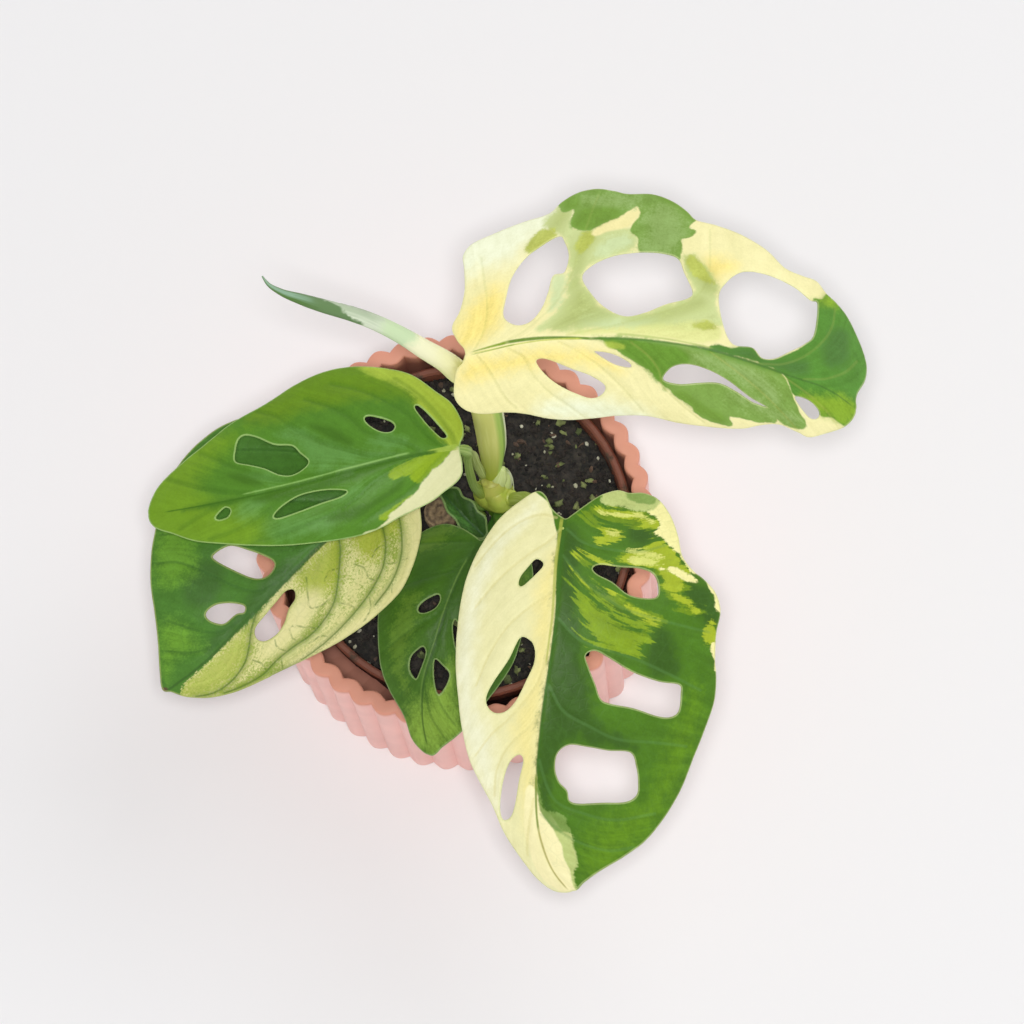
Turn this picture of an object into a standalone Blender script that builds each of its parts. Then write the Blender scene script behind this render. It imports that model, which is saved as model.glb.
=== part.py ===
"""Variegated Swiss cheese vine, Monstera adansonii, in its nursery pot inside a fluted cover pot.

The origin is the middle of the cover pot's underside, +Z is up, and -Y is the side that the long
right-hand leaf hangs over. Measures below are in millimetres and are scaled to metres as they are used.
"""

import bmesh
import bpy
import numpy as np
from mathutils import Vector, geometry, noise

MM = 0.001
GAP = 0.3

# Cover pot: 48 rounded flutes, with the wall following them inside.
POT_HEIGHT = 78.0
POT_FLUTES = 48
POT_CREST_RADIUS = 60.0
POT_FLUTE_DEPTH = 1.8
POT_INNER_RADIUS = 54.0
POT_INNER_DEPTH = 1.5
POT_FLOOR = 4.0
POT_DRAFT = 0.4
FIRST_CREST = 1.5

# Nursery pot, which stands a little off centre.
NURSERY_X, NURSERY_Y = 2.2, 0.3
NURSERY_TOP = 75.0
NURSERY_RIM_RADIUS = 51.2
NURSERY_RIM_HEIGHT = 8.0
NURSERY_RIM_WALL = 2.3
NURSERY_WALL = 1.2
NURSERY_FOOT_RADIUS = 44.0
NURSERY_BOTTOM = POT_FLOOR + GAP
DRAIN_RADIUS = 4.0
DRAIN_CIRCLE = 27.0

SOIL_TOP = 70.8
BLADE_THICKNESS = 0.8
RIB_THICKNESS = 1.9
GRID = 6.2
EDGE_SPACING = 3.7
HOLE_SPACING = 3.0

# Each leaf: where the stalk meets the blade, the compass heading of its tip, a size factor, and rows
# along the middle rib of (distance from the base, sideways, rise). Then come the two halves, left and
# right of that heading: fold at the rib in degrees and curl in degrees for each mm, at the base and at
# the tip. The edge and the holes are points (along, across) that a smooth closed curve runs through.
LEAVES = {
    "leaf_a": {
        "base": (8.4, 32.7, 165.0),
        "heading": -7.0,
        "size": 1.035,
        "rib": [(0, 0, 0), (21, 6.2, 4), (38, 8.5, 5), (61, 8.7, 3), (88, 5.2, -4), (101, 3.2, -10),
                (110, -0.5, -17)],
        "left": (-5, -0.4, -9, -0.52),
        "right": (-34, -0.77, -34, -0.77),
        "edge": [
            (-1.5, 1.5), (-4, 5), (-6, 9.5), (-4.5, 14), (-4, 20), (-5, 27), (-6, 32), (-4, 35.5),
            (2, 37.5), (9, 39), (16, 40.5), (19, 44), (23, 47), (28, 48.2), (33, 47.6), (37, 46.8),
            (44, 47.3), (50, 45.2), (54, 42.6), (57, 40.2), (63, 40), (70, 39.4), (77, 37), (83, 33.3),
            (88, 32.9), (92, 32.6), (95.3, 29.3), (101, 25.7), (105.7, 20.9), (108.6, 16), (108.9, 10.8),
            (107.2, 5), (107, 2.5), (107.4, 0), (106, -4.5), (102.5, -10), (96, -16.2), (92, -16), (87, -15.4),
            (82, -17.5), (76, -21.3), (68, -24), (59, -25), (50, -24.5), (42, -25.5), (36, -27),
            (30, -27.8), (24, -26.8), (17, -23.8), (11, -21.8), (5, -20.5), (0, -17.5), (-3, -13),
            (-3.5, -8), (-3, -4), (-1.5, -2),
        ],
        "holes": [
            [(7.8, 9), (7.6, 15), (8.3, 21), (11, 26), (15, 29.3), (20, 32), (22, 29.5), (23.6, 25),
             (23, 19.8), (20, 19), (19.4, 14), (18.2, 9), (15.5, 5.4), (11.5, 5.4)],
            [(28, 17.5), (30, 21.5), (35, 24.5), (41, 26.2), (48, 27), (53.5, 26.2), (56, 22),
             (59, 16.5), (57.5, 13.8), (52, 11), (47, 7.8), (42, 6), (37.5, 7.2), (32.5, 11)],
            [(66, 17), (67.5, 22), (71, 26.5), (76, 28.6), (82, 29), (87, 28), (91, 25.6), (93.2, 25),
             (93.4, 15), (91, 10.8), (87, 6.8), (83.5, 3.6), (80, 2.5), (77, 4.5), (71.5, 3.7), (68, 9)],
            [(18.3, -7), (20, -6), (24, -7.6), (29, -10.2), (34, -12.4), (38, -15.3), (37.5, -18.2),
             (34.5, -20), (30, -18.5), (25, -15.3), (21, -11.3)],
            [(34, -4.8), (37.5, -5), (41, -6), (44.5, -8), (44.2, -9.4), (40, -8.8), (36, -6.6)],
            [(53.6, -11.8), (55, -8), (58, -5.9), (62, -5.3), (67, -5.9), (72, -7.4), (78, -10.1),
             (83, -11.4), (79, -11.6), (74, -10), (69, -9.1), (63, -10.8), (58, -12.3)],
            [(90, -5.5), (92, -4.7), (95, -5.3), (97.3, -7.2), (97.3, -9.5), (95.2, -10.6), (92.5, -8.6)],
        ],
        "colour": (0.62, 0.62, 0.25),
    },
    "leaf_b": {
        "base": (3.5, 12.4, 135.0),
        "heading": 191.0,
        "size": 1.022,
        "rib": [(0, 0, 0), (15, 0.8, 3.5), (32, 2.2, 4.5), (53, 3.1, 2), (74, 2.3, -3), (90, 0.4, -10)],
        "left": (-14, -0.7, -14, -0.7),
        "right": (-6, -0.6, -6, -0.6),
        "edge": [
            (-0.4, 1.5), (-0.4, 4.7), (0.2, 7.8), (2.2, 9.9), (6, 11.9), (10, 14), (15.5, 15.5), (20, 16.5),
            (25, 17.9), (31, 18.6), (38, 18.2), (45, 17.2), (54, 15.8), (63, 13.7), (71, 11.7), (78, 9.6), (84, 6.5), (89, 3.8),
            (90.3, 0), (88.2, -5), (84.5, -9.5), (78, -14), (71, -18.3), (64, -22.9), (57, -26),
            (50, -28.4), (42, -31.7), (33, -33.7), (25, -32.8), (16, -29.4), (9, -25), (3, -18),
            (-0.5, -13.5), (-2.5, -7.5), (-2.3, -3.5), (-1, -1),
        ],
        "holes": [
            [(2.2, -4), (3.6, -3.3), (5.4, -5.4), (7.8, -9.4), (9.9, -14), (9, -15), (7.2, -13),
             (4.5, -8.6)],
            [(16.2, -9.6), (17.6, -8.3), (20.4, -9), (23.2, -11.6), (24.5, -14.2), (23.4, -15.1),
             (20, -13.5), (17, -11.4)],
            [(42, -6), (44, -4.1), (47.5, -3.2), (51, -4.2), (55, -7.2), (59, -9.3), (62.8, -11.3),
             (62.3, -15), (61, -18.2), (58.8, -19.2), (55.5, -17.6), (51, -14), (46, -12.2), (44, -9.2)],
            [(33, 5.2), (35, 6.5), (41, 6.9), (48, 7.6), (53.5, 8), (54.8, 6.9), (51.5, 4.6), (46, 3),
             (39, 3.4)],
            [(66.4, 2.8), (67.6, 4.6), (70.3, 5), (71.2, 4), (69.2, 2.3), (67.6, 1.7)],
        ],
        "colour": (0.16, 0.33, 0.05),
    },
    "leaf_c": {
        "base": (-13.0, 12.1, 112.0),
        "heading": 223.0,
        "size": 1.0,
        "rib": [(0, 0, 0), (25, 1, 4), (52, 2, 3), (67, 2.3, 0), (82, 2.3, -4), (96.5, 0, -9)],
        "left": (-16, -0.6, -16, -0.6),
        "right": (2, -0.3, 2, -0.3),
        "edge": [
            (0, 1.5), (1, 6), (5, 12), (9, 17.5), (14, 21.5), (20, 25), (26, 27.2), (33, 27.3),
            (41, 26.5), (50, 24.6), (58, 21.9), (66, 19), (74, 16), (82, 12.8), (88, 9.5), (92.5, 5.5),
            (95, 1.5), (96.5, -0.5), (93, -6), (88, -13), (83, -20.5), (78, -28), (72, -34.3),
            (66, -39), (60, -43.5), (53, -46.8), (45, -48.3), (38, -48.2), (31, -46.8), (23, -43),
            (15, -37), (8, -29), (3, -20), (-1, -12), (-2, -5), (-1, -1.3),
        ],
        "holes": [
            [(47.8, -6), (49.2, -4.4), (52.5, -4.2), (55.5, -6.5), (58, -12), (60.2, -19), (59, -20.4),
             (54, -18.8), (51, -14), (48.8, -9.5)],
            [(62.8, -3), (64.3, -1.6), (66.4, -2.9), (70.8, -3.5), (73, -6.5), (73.2, -9.2), (71.4, -10),
             (68.3, -9.2), (65, -6.4)],
            [(49, 4.2), (50.5, 6.4), (54, 7.3), (57.5, 9.2), (61.5, 9.9), (65.4, 8.8), (66.7, 6.4),
             (65, 3.9), (60, 3.2), (55, 2.8), (51, 2.6)],
        ],
        "colour": (0.30, 0.38, 0.10),
    },
    "leaf_d": {
        "base": (7.3, -10.0, 99.0),
        "heading": 257.0,
        "size": 1.01,
        "rib": [(0, 0, 0), (10, -2.2, 3), (30, -4.3, 3), (44, -5.2, -2), (52, -3.7, -7), (61, 0.3, -12)],
        "left": (-8, -1, -8, -1),
        "right": (-8, -1, -8, -1),
        "edge": [
            (-3, 0.5), (-4.2, 2.5), (-5.2, 6), (-4.5, 11), (-1.5, 16), (4, 20), (11, 22.8), (20, 24.2),
            (28, 24.3), (34, 23), (40, 20.7), (46, 17), (51, 13), (54, 9.8), (57.5, 5), (60.8, 0.3),
            (58, -4), (52, -5.6), (46, -10), (40, -14), (33, -17.6), (25, -20.5), (17, -21.8),
            (9, -21.8), (2, -20.3), (-3, -17.5), (-5.8, -13), (-5.6, -8), (-4.2, -3.5), (-3, -0.5),
        ],
        "holes": [
            [(16.4, -4), (18, -2.7), (20.6, -3.2), (22.6, -5.4), (22.9, -7.6), (21.2, -8.3),
             (18.6, -6.8)],
            [(32.2, -3.3), (33.8, -1.9), (38, -1.8), (41.6, -2.5), (39.5, -5), (36, -5.9), (33.6, -4.8)],
            [(35.2, 1.2), (36.2, 4.2), (38, 6.8), (41.5, 6.6), (44.4, 4.8), (41.5, 3)],
            [(22.5, 3.4), (25, 3.3), (30, 5.6), (31.5, 7.6), (28.5, 7.4), (25, 5.6)],
        ],
        "colour": (0.11, 0.26, 0.05),
    },
    "leaf_e": {
        "base": (35.1, -12.6, 148.0),
        "heading": 271.0,
        "size": 1.028,
        "rib": [(0, 0, 0), (11, -1.3, 2.5), (26, -2.4, 3), (41, -4.7, 1), (57, -7.5, -3.5), (72, -9, -11),
                (87, -7.5, -19), (96, -3.2, -25), (101, 1.5, -29)],
        "left": (-8, -0.4, -8, -0.4),
        "right": (-20, -0.7, -20, -0.7),
        "edge": [
            (-1, 0.5), (-2, 2), (-5, 5.5), (-8, 9.5), (-9.6, 14), (-9, 17.5), (-9.2, 21.5), (-7.5, 26),
            (-3, 30), (3, 33), (9, 35), (13, 38.5), (15.2, 42), (19, 46), (24, 47.8), (30, 47.2),
            (37, 47.8), (43, 49.3), (49, 49.7), (56, 48), (64, 45.4), (72, 42), (80, 36.5),
            (86, 29.7), (90.5, 21.5), (94, 13.5), (97.5, 5.5), (99.8, 0), (99, -5.8), (92, -8),
            (84, -10.8), (77, -13.5), (70, -18), (64, -22), (56, -25.6), (48, -28.4), (39, -31.5),
            (30, -33.4), (21, -33), (12, -30.5), (4, -26.8), (-3, -21.5), (-7.5, -15.5), (-10, -10),
            (-8.5, -7), (-4.5, -4.6), (-1.8, -1.5),
        ],
        "holes": [
            [(12.4, 11.5), (13, 17), (13.2, 23), (14.6, 27), (18, 28.7), (21.3, 28.3), (21.8, 24),
             (20.8, 19.6), (17.6, 15.2), (15.4, 10.8), (13.6, 9.4)],
            [(36.6, 12.4), (38.6, 17), (42, 24), (44.2, 32), (44.8, 38.4), (47.5, 39.4), (52, 39.5),
             (53.8, 37.2), (53.7, 33), (52, 26), (51, 19), (49.8, 16), (46, 13.8), (41.5, 11.2),
             (38, 9.8)],
            [(61.8, 8.8), (62.2, 14), (63, 20), (63.3, 26.6), (67, 28.7), (71, 29.4), (74.5, 28.8),
             (76.4, 25.5), (76.8, 19), (77.2, 12), (76.4, 9.2), (73.8, 8.6), (71.5, 6.4), (68, 5.2),
             (64, 5.7)],
            [(10.3, -7.4), (11.4, -5.1), (13, -4.8), (15.4, -7.2), (18, -10.8), (17.4, -12.4),
             (15, -12), (12.2, -9.6)],
            [(32.4, -10.5), (33.3, -7), (36, -5), (40, -4.6), (44.5, -6.2), (49.5, -8.2), (52.3, -11),
             (52.6, -14.5), (50.8, -17.5), (47.8, -18.8), (44, -17.2), (38.5, -13.4)],
            [(64, -5.2), (66, -3.8), (71, -5), (77, -6.4), (80.3, -8.2), (80.6, -10.8), (77, -11.5),
             (71, -10.4), (65.6, -8.2)],
        ],
        "colour": (0.35, 0.45, 0.14),
    },
    "leaf_f": {
        "base": (9.2, -3.6, 85.0),
        "heading": 134.0,
        "size": 1.0,
        "rib": [(0, 0, 0), (7, 0.4, 2), (14, 0.3, 2.5), (20, 0, 2)],
        "left": (-10, -2.5, -10, -2.5),
        "right": (-10, -2.5, -10, -2.5),
        "edge": [
            (-0.3, 0.5), (0.5, 2.2), (3, 3.8), (7, 4.7), (11, 4.5), (15, 3.3), (18.3, 1.5), (20, 0),
            (18, -1.9), (14, -3.9), (9.5, -5), (5, -4.7), (1.8, -3.2), (0, -1.5), (-0.3, -0.5),
        ],
        "holes": [],
        "colour": (0.08, 0.22, 0.05),
    },
}

# Stem and leaf stalks: rows (x, y, z, radius) that a smooth centre line runs through, bottom to top.
STEM = [(15, 6.5, 62, 4.6), (14.5, 7.5, 74, 5), (12.9, 8.6, 83, 6.2), (12.4, 9, 87.5, 5.6),
        (12.2, 9.2, 90.3, 3.4)]
BUD = [(13.6, 11.2, 85, 2), (14.8, 13.2, 89, 2.4), (15.6, 15, 93, 1.9), (15.9, 16, 95, 1)]
STALKS = {
    "petiole_a": [(10.8, 11.6, 85, 2.2), (11, 14.4, 93, 3), (12.2, 18.5, 105, 4.1), (12.2, 23.4, 125, 4.8),
                  (10.6, 27, 142, 4.3), (8, 30, 156, 2.8), (8.4, 32.3, 167, 1.9)],
    "petiole_b": [(9.1, 9.1, 87, 1.9), (7.4, 8.6, 93, 2.3), (6.6, 9.4, 106, 2.6), (6.4, 10.9, 124, 2.3),
                  (5.4, 12.1, 132, 1.8), (3.7, 12.6, 138, 1.5)],
    "petiole_c": [(9.5, 7.2, 78.5, 1.6), (5.5, 6.8, 80.8, 1.5), (0, 8.6, 82.2, 1.5), (-5, 10.6, 83.6, 1.5),
                  (-8.6, 11.7, 88.5, 1.5), (-10.8, 12, 99, 1.5), (-13.3, 12.2, 114, 1.4)],
    "petiole_d": [(13.2, 4.5, 80, 1.9), (13.6, -1.5, 86, 1.8), (11.2, -7.2, 93.5, 1.5), (6.8, -10.4, 101, 1.3)],
    "petiole_e": [(16, 7.4, 84, 2.3), (19.5, 6.6, 90, 2.2), (22.3, 5.2, 97, 2.1), (25.2, 1.2, 105, 2),
                  (28.6, -5.6, 124, 1.8), (32, -10.9, 139, 1.6), (35.2, -13, 151, 1.5)],
    "petiole_f": [(12.5, 5, 76, 1.2), (10.6, 0, 79.5, 1.2), (9.3, -3.4, 83.5, 1), (8.8, -4.4, 86.5, 0.8)],
}
# New leaf, still rolled, which leaves the top of the first stalk's sheath.
SPEAR = [(8.4, 28.4, 147, 3), (4.4, 30.3, 153, 3.4), (1, 31.7, 160, 3.1), (-4.3, 33.4, 167, 2.8),
         (-11.1, 36.1, 174, 2.4), (-17.6, 38.3, 179, 2.2), (-24.7, 39.9, 184, 2.1), (-31.5, 41, 188, 2),
         (-38.3, 42.2, 192, 1.6), (-43.7, 43.5, 195, 1), (-47, 45.2, 197, 0.6), (-48.6, 47.2, 198, 0.3)]
# Corky stump of an older stem, cut level.
STUMP = [(-4.6, 6, 64, 5), (-4.2, 5.2, 79, 5)]

for thing in list(bpy.data.objects):
    bpy.data.objects.remove(thing, do_unlink=True)
plant = bpy.data.collections.new("monstera_adansonii")
cutters = bpy.data.collections.new("cutters")
cutters.hide_render = True
bpy.context.scene.collection.children.link(plant)
bpy.context.scene.collection.children.link(cutters)


def material(name, colour, roughness, metallic=0.0):
    made = bpy.data.materials.new(name)
    made.use_nodes = True
    shader = made.node_tree.nodes["Principled BSDF"]
    shader.inputs["Base Color"].default_value = (*colour, 1)
    shader.inputs["Roughness"].default_value = roughness
    shader.inputs["Metallic"].default_value = metallic
    return made


def placed(name, mesh, finish, smooth=True):
    """A finished object in the plant's collection, with its material."""
    piece = bpy.data.objects.new(name, mesh)
    plant.objects.link(piece)
    mesh.materials.clear()
    mesh.materials.append(finish)
    if smooth:
        mesh.shade_smooth()
        mesh.set_sharp_from_angle(angle=0.6)
    return piece


def cutter(name, mesh):
    made = bpy.data.objects.new(name, mesh)
    cutters.objects.link(made)
    made.hide_render = True
    made.display_type = "WIRE"
    return made


def combine(piece, other, operation):
    step = piece.modifiers.new(operation.lower() + "_" + other.name, "BOOLEAN")
    step.operation = operation
    step.object = other
    step.solver = "EXACT"


def welded_mesh(obj, name):
    """The object's evaluated mesh in world space with its loose caps joined on, and the object removed."""
    graph = bpy.context.evaluated_depsgraph_get()
    mesh = bpy.data.meshes.new_from_object(obj.evaluated_get(graph))
    mesh.transform(obj.matrix_world)
    mesh.name = name
    shape = bmesh.new()
    shape.from_mesh(mesh)
    bmesh.ops.remove_doubles(shape, verts=shape.verts, dist=0.00001)
    bmesh.ops.recalc_face_normals(shape, faces=shape.faces)
    shape.to_mesh(mesh)
    shape.free()
    bpy.data.objects.remove(obj, do_unlink=True)
    return mesh


def along(rows, at):
    """Smooth curve through rows (position, values...), read at these positions and straight beyond its ends."""
    rows = np.array(rows, float)
    x, y = rows[:, 0], rows[:, 1:]
    slope = np.gradient(y, x, axis=0)
    at = np.asarray(at, float)
    i = np.clip(np.searchsorted(x, at) - 1, 0, len(x) - 2)
    span = (x[i + 1] - x[i])[..., None]
    t = np.clip((at - x[i]) / (x[i + 1] - x[i]), 0, 1)[..., None]
    middle = ((2 * t**3 - 3 * t**2 + 1) * y[i] + (t**3 - 2 * t**2 + t) * span * slope[i]
              + (3 * t**2 - 2 * t**3) * y[i + 1] + (t**3 - t**2) * span * slope[i + 1])
    before = np.minimum(at - x[0], 0)[..., None] * slope[0]
    after = np.maximum(at - x[-1], 0)[..., None] * slope[-1]
    return middle + before + after


def tube_mesh(name, rows, count, sides, wider=0.0):
    """Round tube on a smooth centre line through rows (x, y, z, radius). A wider one is longer by as much."""
    rows = np.array(rows, float)
    run = np.concatenate([[0], np.cumsum(np.linalg.norm(np.diff(rows[:, :3], axis=0), axis=1))])
    line = along(np.column_stack([run, rows]), np.linspace(-wider, run[-1] + wider, count))
    curve = bpy.data.curves.new(name, "CURVE")
    curve.dimensions = "3D"
    curve.bevel_depth = MM
    curve.bevel_resolution = sides // 2 - 2
    curve.use_fill_caps = True
    spline = curve.splines.new("POLY")
    spline.points.add(count - 1)
    for point, (x, y, z, radius) in zip(spline.points, line):
        point.co = (x * MM, y * MM, z * MM, 1)
        point.radius = radius + wider
    guide = bpy.data.objects.new(name, curve)
    bpy.context.scene.collection.objects.link(guide)
    bpy.context.view_layer.update()
    return welded_mesh(guide, name)


def leaf_point(leaf, u, v):
    """World point in mm of the blade's upper face at u along the leaf and v across it."""
    u, v = np.broadcast_arrays(np.asarray(u, float), np.asarray(v, float))
    rib = along(np.array(leaf["rib"], float) * leaf["size"], u)
    turn = np.radians(leaf["heading"])
    forward = np.array([np.cos(turn), np.sin(turn), 0])
    side = np.array([-np.sin(turn), np.cos(turn), 0])
    up = np.array([0, 0, 1.0])
    k = np.clip(u / (leaf["rib"][-1][0] * leaf["size"]), 0, 1)
    half = np.where(v[..., None] >= 0, leaf["left"], leaf["right"])
    fold = np.radians(half[..., 0] + (half[..., 2] - half[..., 0]) * k)
    curl = np.radians(half[..., 1] + (half[..., 3] - half[..., 1]) * k)
    width = np.abs(v)
    across = np.sign(v) * (np.sin(fold + curl * width) - np.sin(fold)) / curl
    rise = (np.cos(fold) - np.cos(fold + curl * width)) / curl
    return (np.array(leaf["base"]) + u[..., None] * forward + (rib[..., :1] + across[..., None]) * side
            + (rib[..., 1:] + rise[..., None]) * up)


def closed_curve(points, spacing):
    """Even points along the smooth closed curve through these ones, starting at the one furthest along."""
    p = np.array(points, float)
    p = np.roll(p, -int(np.argmax(p[:, 0])), axis=0)
    t = np.linspace(0, 1, 12, endpoint=False)[:, None]
    dense = []
    for i in range(len(p)):
        a, b, c, d = p[i - 1], p[i], p[(i + 1) % len(p)], p[(i + 2) % len(p)]
        dense.append(0.5 * (2 * b + (c - a) * t + (2 * a - 5 * b + 4 * c - d) * t**2
                            + (3 * b - a - 3 * c + d) * t**3))
    dense = np.vstack(dense + [p[:1]])
    run = np.concatenate([[0], np.cumsum(np.linalg.norm(np.diff(dense, axis=0), axis=1))])
    count = max(6, round(run[-1] / spacing))
    at = np.arange(count) * run[-1] / count
    return np.column_stack([np.interp(at, run, dense[:, axis]) for axis in (0, 1)])


def inside(points, ring):
    """Which points lie inside this closed ring."""
    x, y = points[:, 0], points[:, 1]
    found = np.zeros(len(points), bool)
    for (x0, y0), (x1, y1) in zip(ring, np.roll(ring, -1, axis=0)):
        if y0 == y1:
            continue
        found ^= ((y0 > y) != (y1 > y)) & (x < (x1 - x0) * (y - y0) / (y1 - y0) + x0)
    return found


def blade(name, leaf):
    """Leaf blade with its holes, a thin sheet that is thicker along the underside of the middle rib."""
    size = leaf["size"]
    edge = closed_curve(leaf["edge"], EDGE_SPACING) * size
    holes = [closed_curve(hole, HOLE_SPACING) * size for hole in leaf["holes"]]
    border = np.vstack([edge] + holes)
    links, start = [], 0
    for ring in [edge] + holes:
        links += [(start + i, start + (i + 1) % len(ring)) for i in range(len(ring))]
        start += len(ring)
    low, high = edge.min(axis=0), edge.max(axis=0)
    rows = np.arange(low[1], high[1], GRID * 0.866)
    grid = [(low[0] + (column + 0.5 * (i % 2)) * GRID, y)
            for i, y in enumerate(rows) for column in range(int((high[0] - low[0]) / GRID) + 1)]
    rib = [(u, 0.0) for u in np.arange(GRID * 0.2, high[0] - GRID * 0.6, GRID * 0.8)]
    grid = [p for p in grid if abs(p[1]) > GRID * 0.45] + rib
    grid = np.array(grid)
    keep = inside(grid, edge)
    for hole in holes:
        keep &= ~inside(grid, hole)
    room = np.where(np.abs(grid[:, 1]) < 0.1, 0.25, 0.5) * GRID
    keep &= np.array([np.linalg.norm(border - p, axis=1).min() for p in grid]) > room
    flat = np.vstack([border, grid[keep]])
    found = geometry.delaunay_2d_cdt([Vector(p) for p in flat], links, [], 0, 1e-6)
    flat = np.array([tuple(p) for p in found[0]])
    faces = [tuple(face) for face in found[2]]
    middles = np.array([flat[list(face)].mean(axis=0) for face in faces])
    wanted = inside(middles, edge)
    for hole in holes:
        wanted &= ~inside(middles, hole)
    faces = [face for face, good in zip(faces, wanted) if good]
    mesh = bpy.data.meshes.new(name)
    mesh.from_pydata([tuple(p * MM) for p in leaf_point(leaf, flat[:, 0], flat[:, 1])], [], faces)
    shape = bmesh.new()
    shape.from_mesh(mesh)
    bmesh.ops.delete(shape, geom=[v for v in shape.verts if not v.link_faces], context="VERTS")
    shape.to_mesh(mesh)
    shape.free()
    piece = placed(name, mesh, material(name, leaf["colour"], 0.45))
    group = piece.vertex_groups.new(name="rib")
    length = leaf["rib"][-1][0] * size
    scale = min(1.0, length / 90)
    world = np.array([tuple(vertex.co) for vertex in mesh.vertices])
    spine_u = np.linspace(0, length * 0.85, 60)
    spine = leaf_point(leaf, spine_u, 0 * spine_u) * MM
    for i, point in enumerate(world):
        gaps = np.linalg.norm(spine - point, axis=1)
        nearest = int(gaps.argmin())
        on_rib = gaps[nearest] < 1.2 * MM
        taper = 1 - spine_u[nearest] / length
        extra = (RIB_THICKNESS - BLADE_THICKNESS) * taper * scale if on_rib else 0
        group.add([i], (BLADE_THICKNESS + extra) / RIB_THICKNESS, "REPLACE")
    sheet = piece.modifiers.new("thickness", "SOLIDIFY")
    sheet.thickness = RIB_THICKNESS * MM
    sheet.offset = -1
    sheet.vertex_group = "rib"
    return piece


def under_blade(name, leaf):
    """Cutter that trims a leaf stalk just under its blade: the blade's face around the base, made thick."""
    reach = np.linspace(-9, 9, 13)
    mesh = bpy.data.meshes.new(name)
    points = [leaf_point(leaf, u, v) for v in reach for u in reach]
    wide = len(reach)
    faces = [(j * wide + i, j * wide + i + 1, (j + 1) * wide + i + 1, (j + 1) * wide + i)
             for j in range(wide - 1) for i in range(wide - 1)]
    rib = (RIB_THICKNESS - BLADE_THICKNESS) * min(1.0, leaf["rib"][-1][0] / 90)
    drop = BLADE_THICKNESS + rib + GAP
    mesh.from_pydata([tuple((p - (0, 0, drop)) * MM) for p in points], [], faces)
    made = cutter(name, mesh)
    block = made.modifiers.new("block", "SOLIDIFY")
    block.thickness = 9 * MM
    block.offset = 1
    return made


def cover_pot():
    """Fluted wall lofted through rings: rounded lobes outside, rounded bumps with sharp creases inside."""
    steps = POT_FLUTES * 4
    angle = np.radians(FIRST_CREST) + np.arange(steps) * 2 * np.pi / steps
    wave = np.arange(steps) * np.pi / 4
    outer = POT_CREST_RADIUS - POT_FLUTE_DEPTH * (1 - np.abs(np.cos(wave)))
    inner = POT_INNER_RADIUS + POT_INNER_DEPTH * (1 - np.abs(np.sin(wave)))
    soft = 0.7
    rings = [
        (outer - POT_DRAFT - soft, 0), (outer - POT_DRAFT, soft), (outer, POT_HEIGHT - soft),
        (outer - soft, POT_HEIGHT), (inner + soft, POT_HEIGHT), (inner, POT_HEIGHT - soft),
        (inner - POT_DRAFT, POT_FLOOR),
    ]
    shape = bmesh.new()
    rows = [[shape.verts.new((r * np.cos(a) * MM, r * np.sin(a) * MM, z * MM))
             for r, a in zip(radius, angle)] for radius, z in rings]
    for low, high in zip(rows, rows[1:]):
        for i in range(steps):
            j = (i + 1) % steps
            shape.faces.new((low[i], low[j], high[j], high[i]))
    for row, z in ((rows[0], 0), (rows[-1], POT_FLOOR)):
        middle = shape.verts.new((0, 0, z * MM))
        for i in range(steps):
            shape.faces.new((middle, row[i], row[(i + 1) % steps]))
    bmesh.ops.recalc_face_normals(shape, faces=shape.faces)
    mesh = bpy.data.meshes.new("cover_pot")
    shape.to_mesh(mesh)
    shape.free()
    return placed("cover_pot", mesh, material("cover_pot", (0.78, 0.42, 0.34), 0.55))


def turned(name, profile, steps):
    """Mesh turned from a profile of (radius, height) that starts and ends on the axis."""
    mesh = bpy.data.meshes.new(name)
    links = [(i, i + 1) for i in range(len(profile) - 1)]
    mesh.from_pydata([(r * MM, 0, z * MM) for r, z in profile], links, [])
    guide = bpy.data.objects.new(name, mesh)
    bpy.context.scene.collection.objects.link(guide)
    screw = guide.modifiers.new("turn", "SCREW")
    screw.steps = screw.render_steps = steps
    screw.use_merge_vertices = True
    screw.merge_threshold = 0.00001
    guide.location = (NURSERY_X * MM, NURSERY_Y * MM, 0)
    bpy.context.view_layer.update()
    return welded_mesh(guide, name)


def inner_radius(z):
    """Inside radius of the nursery pot below its rim band."""
    foot = NURSERY_FOOT_RADIUS - NURSERY_WALL
    top = NURSERY_RIM_RADIUS - NURSERY_RIM_WALL - 0.4
    return foot + (top - foot) * (z - NURSERY_BOTTOM) / (NURSERY_TOP - NURSERY_BOTTOM)


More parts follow.
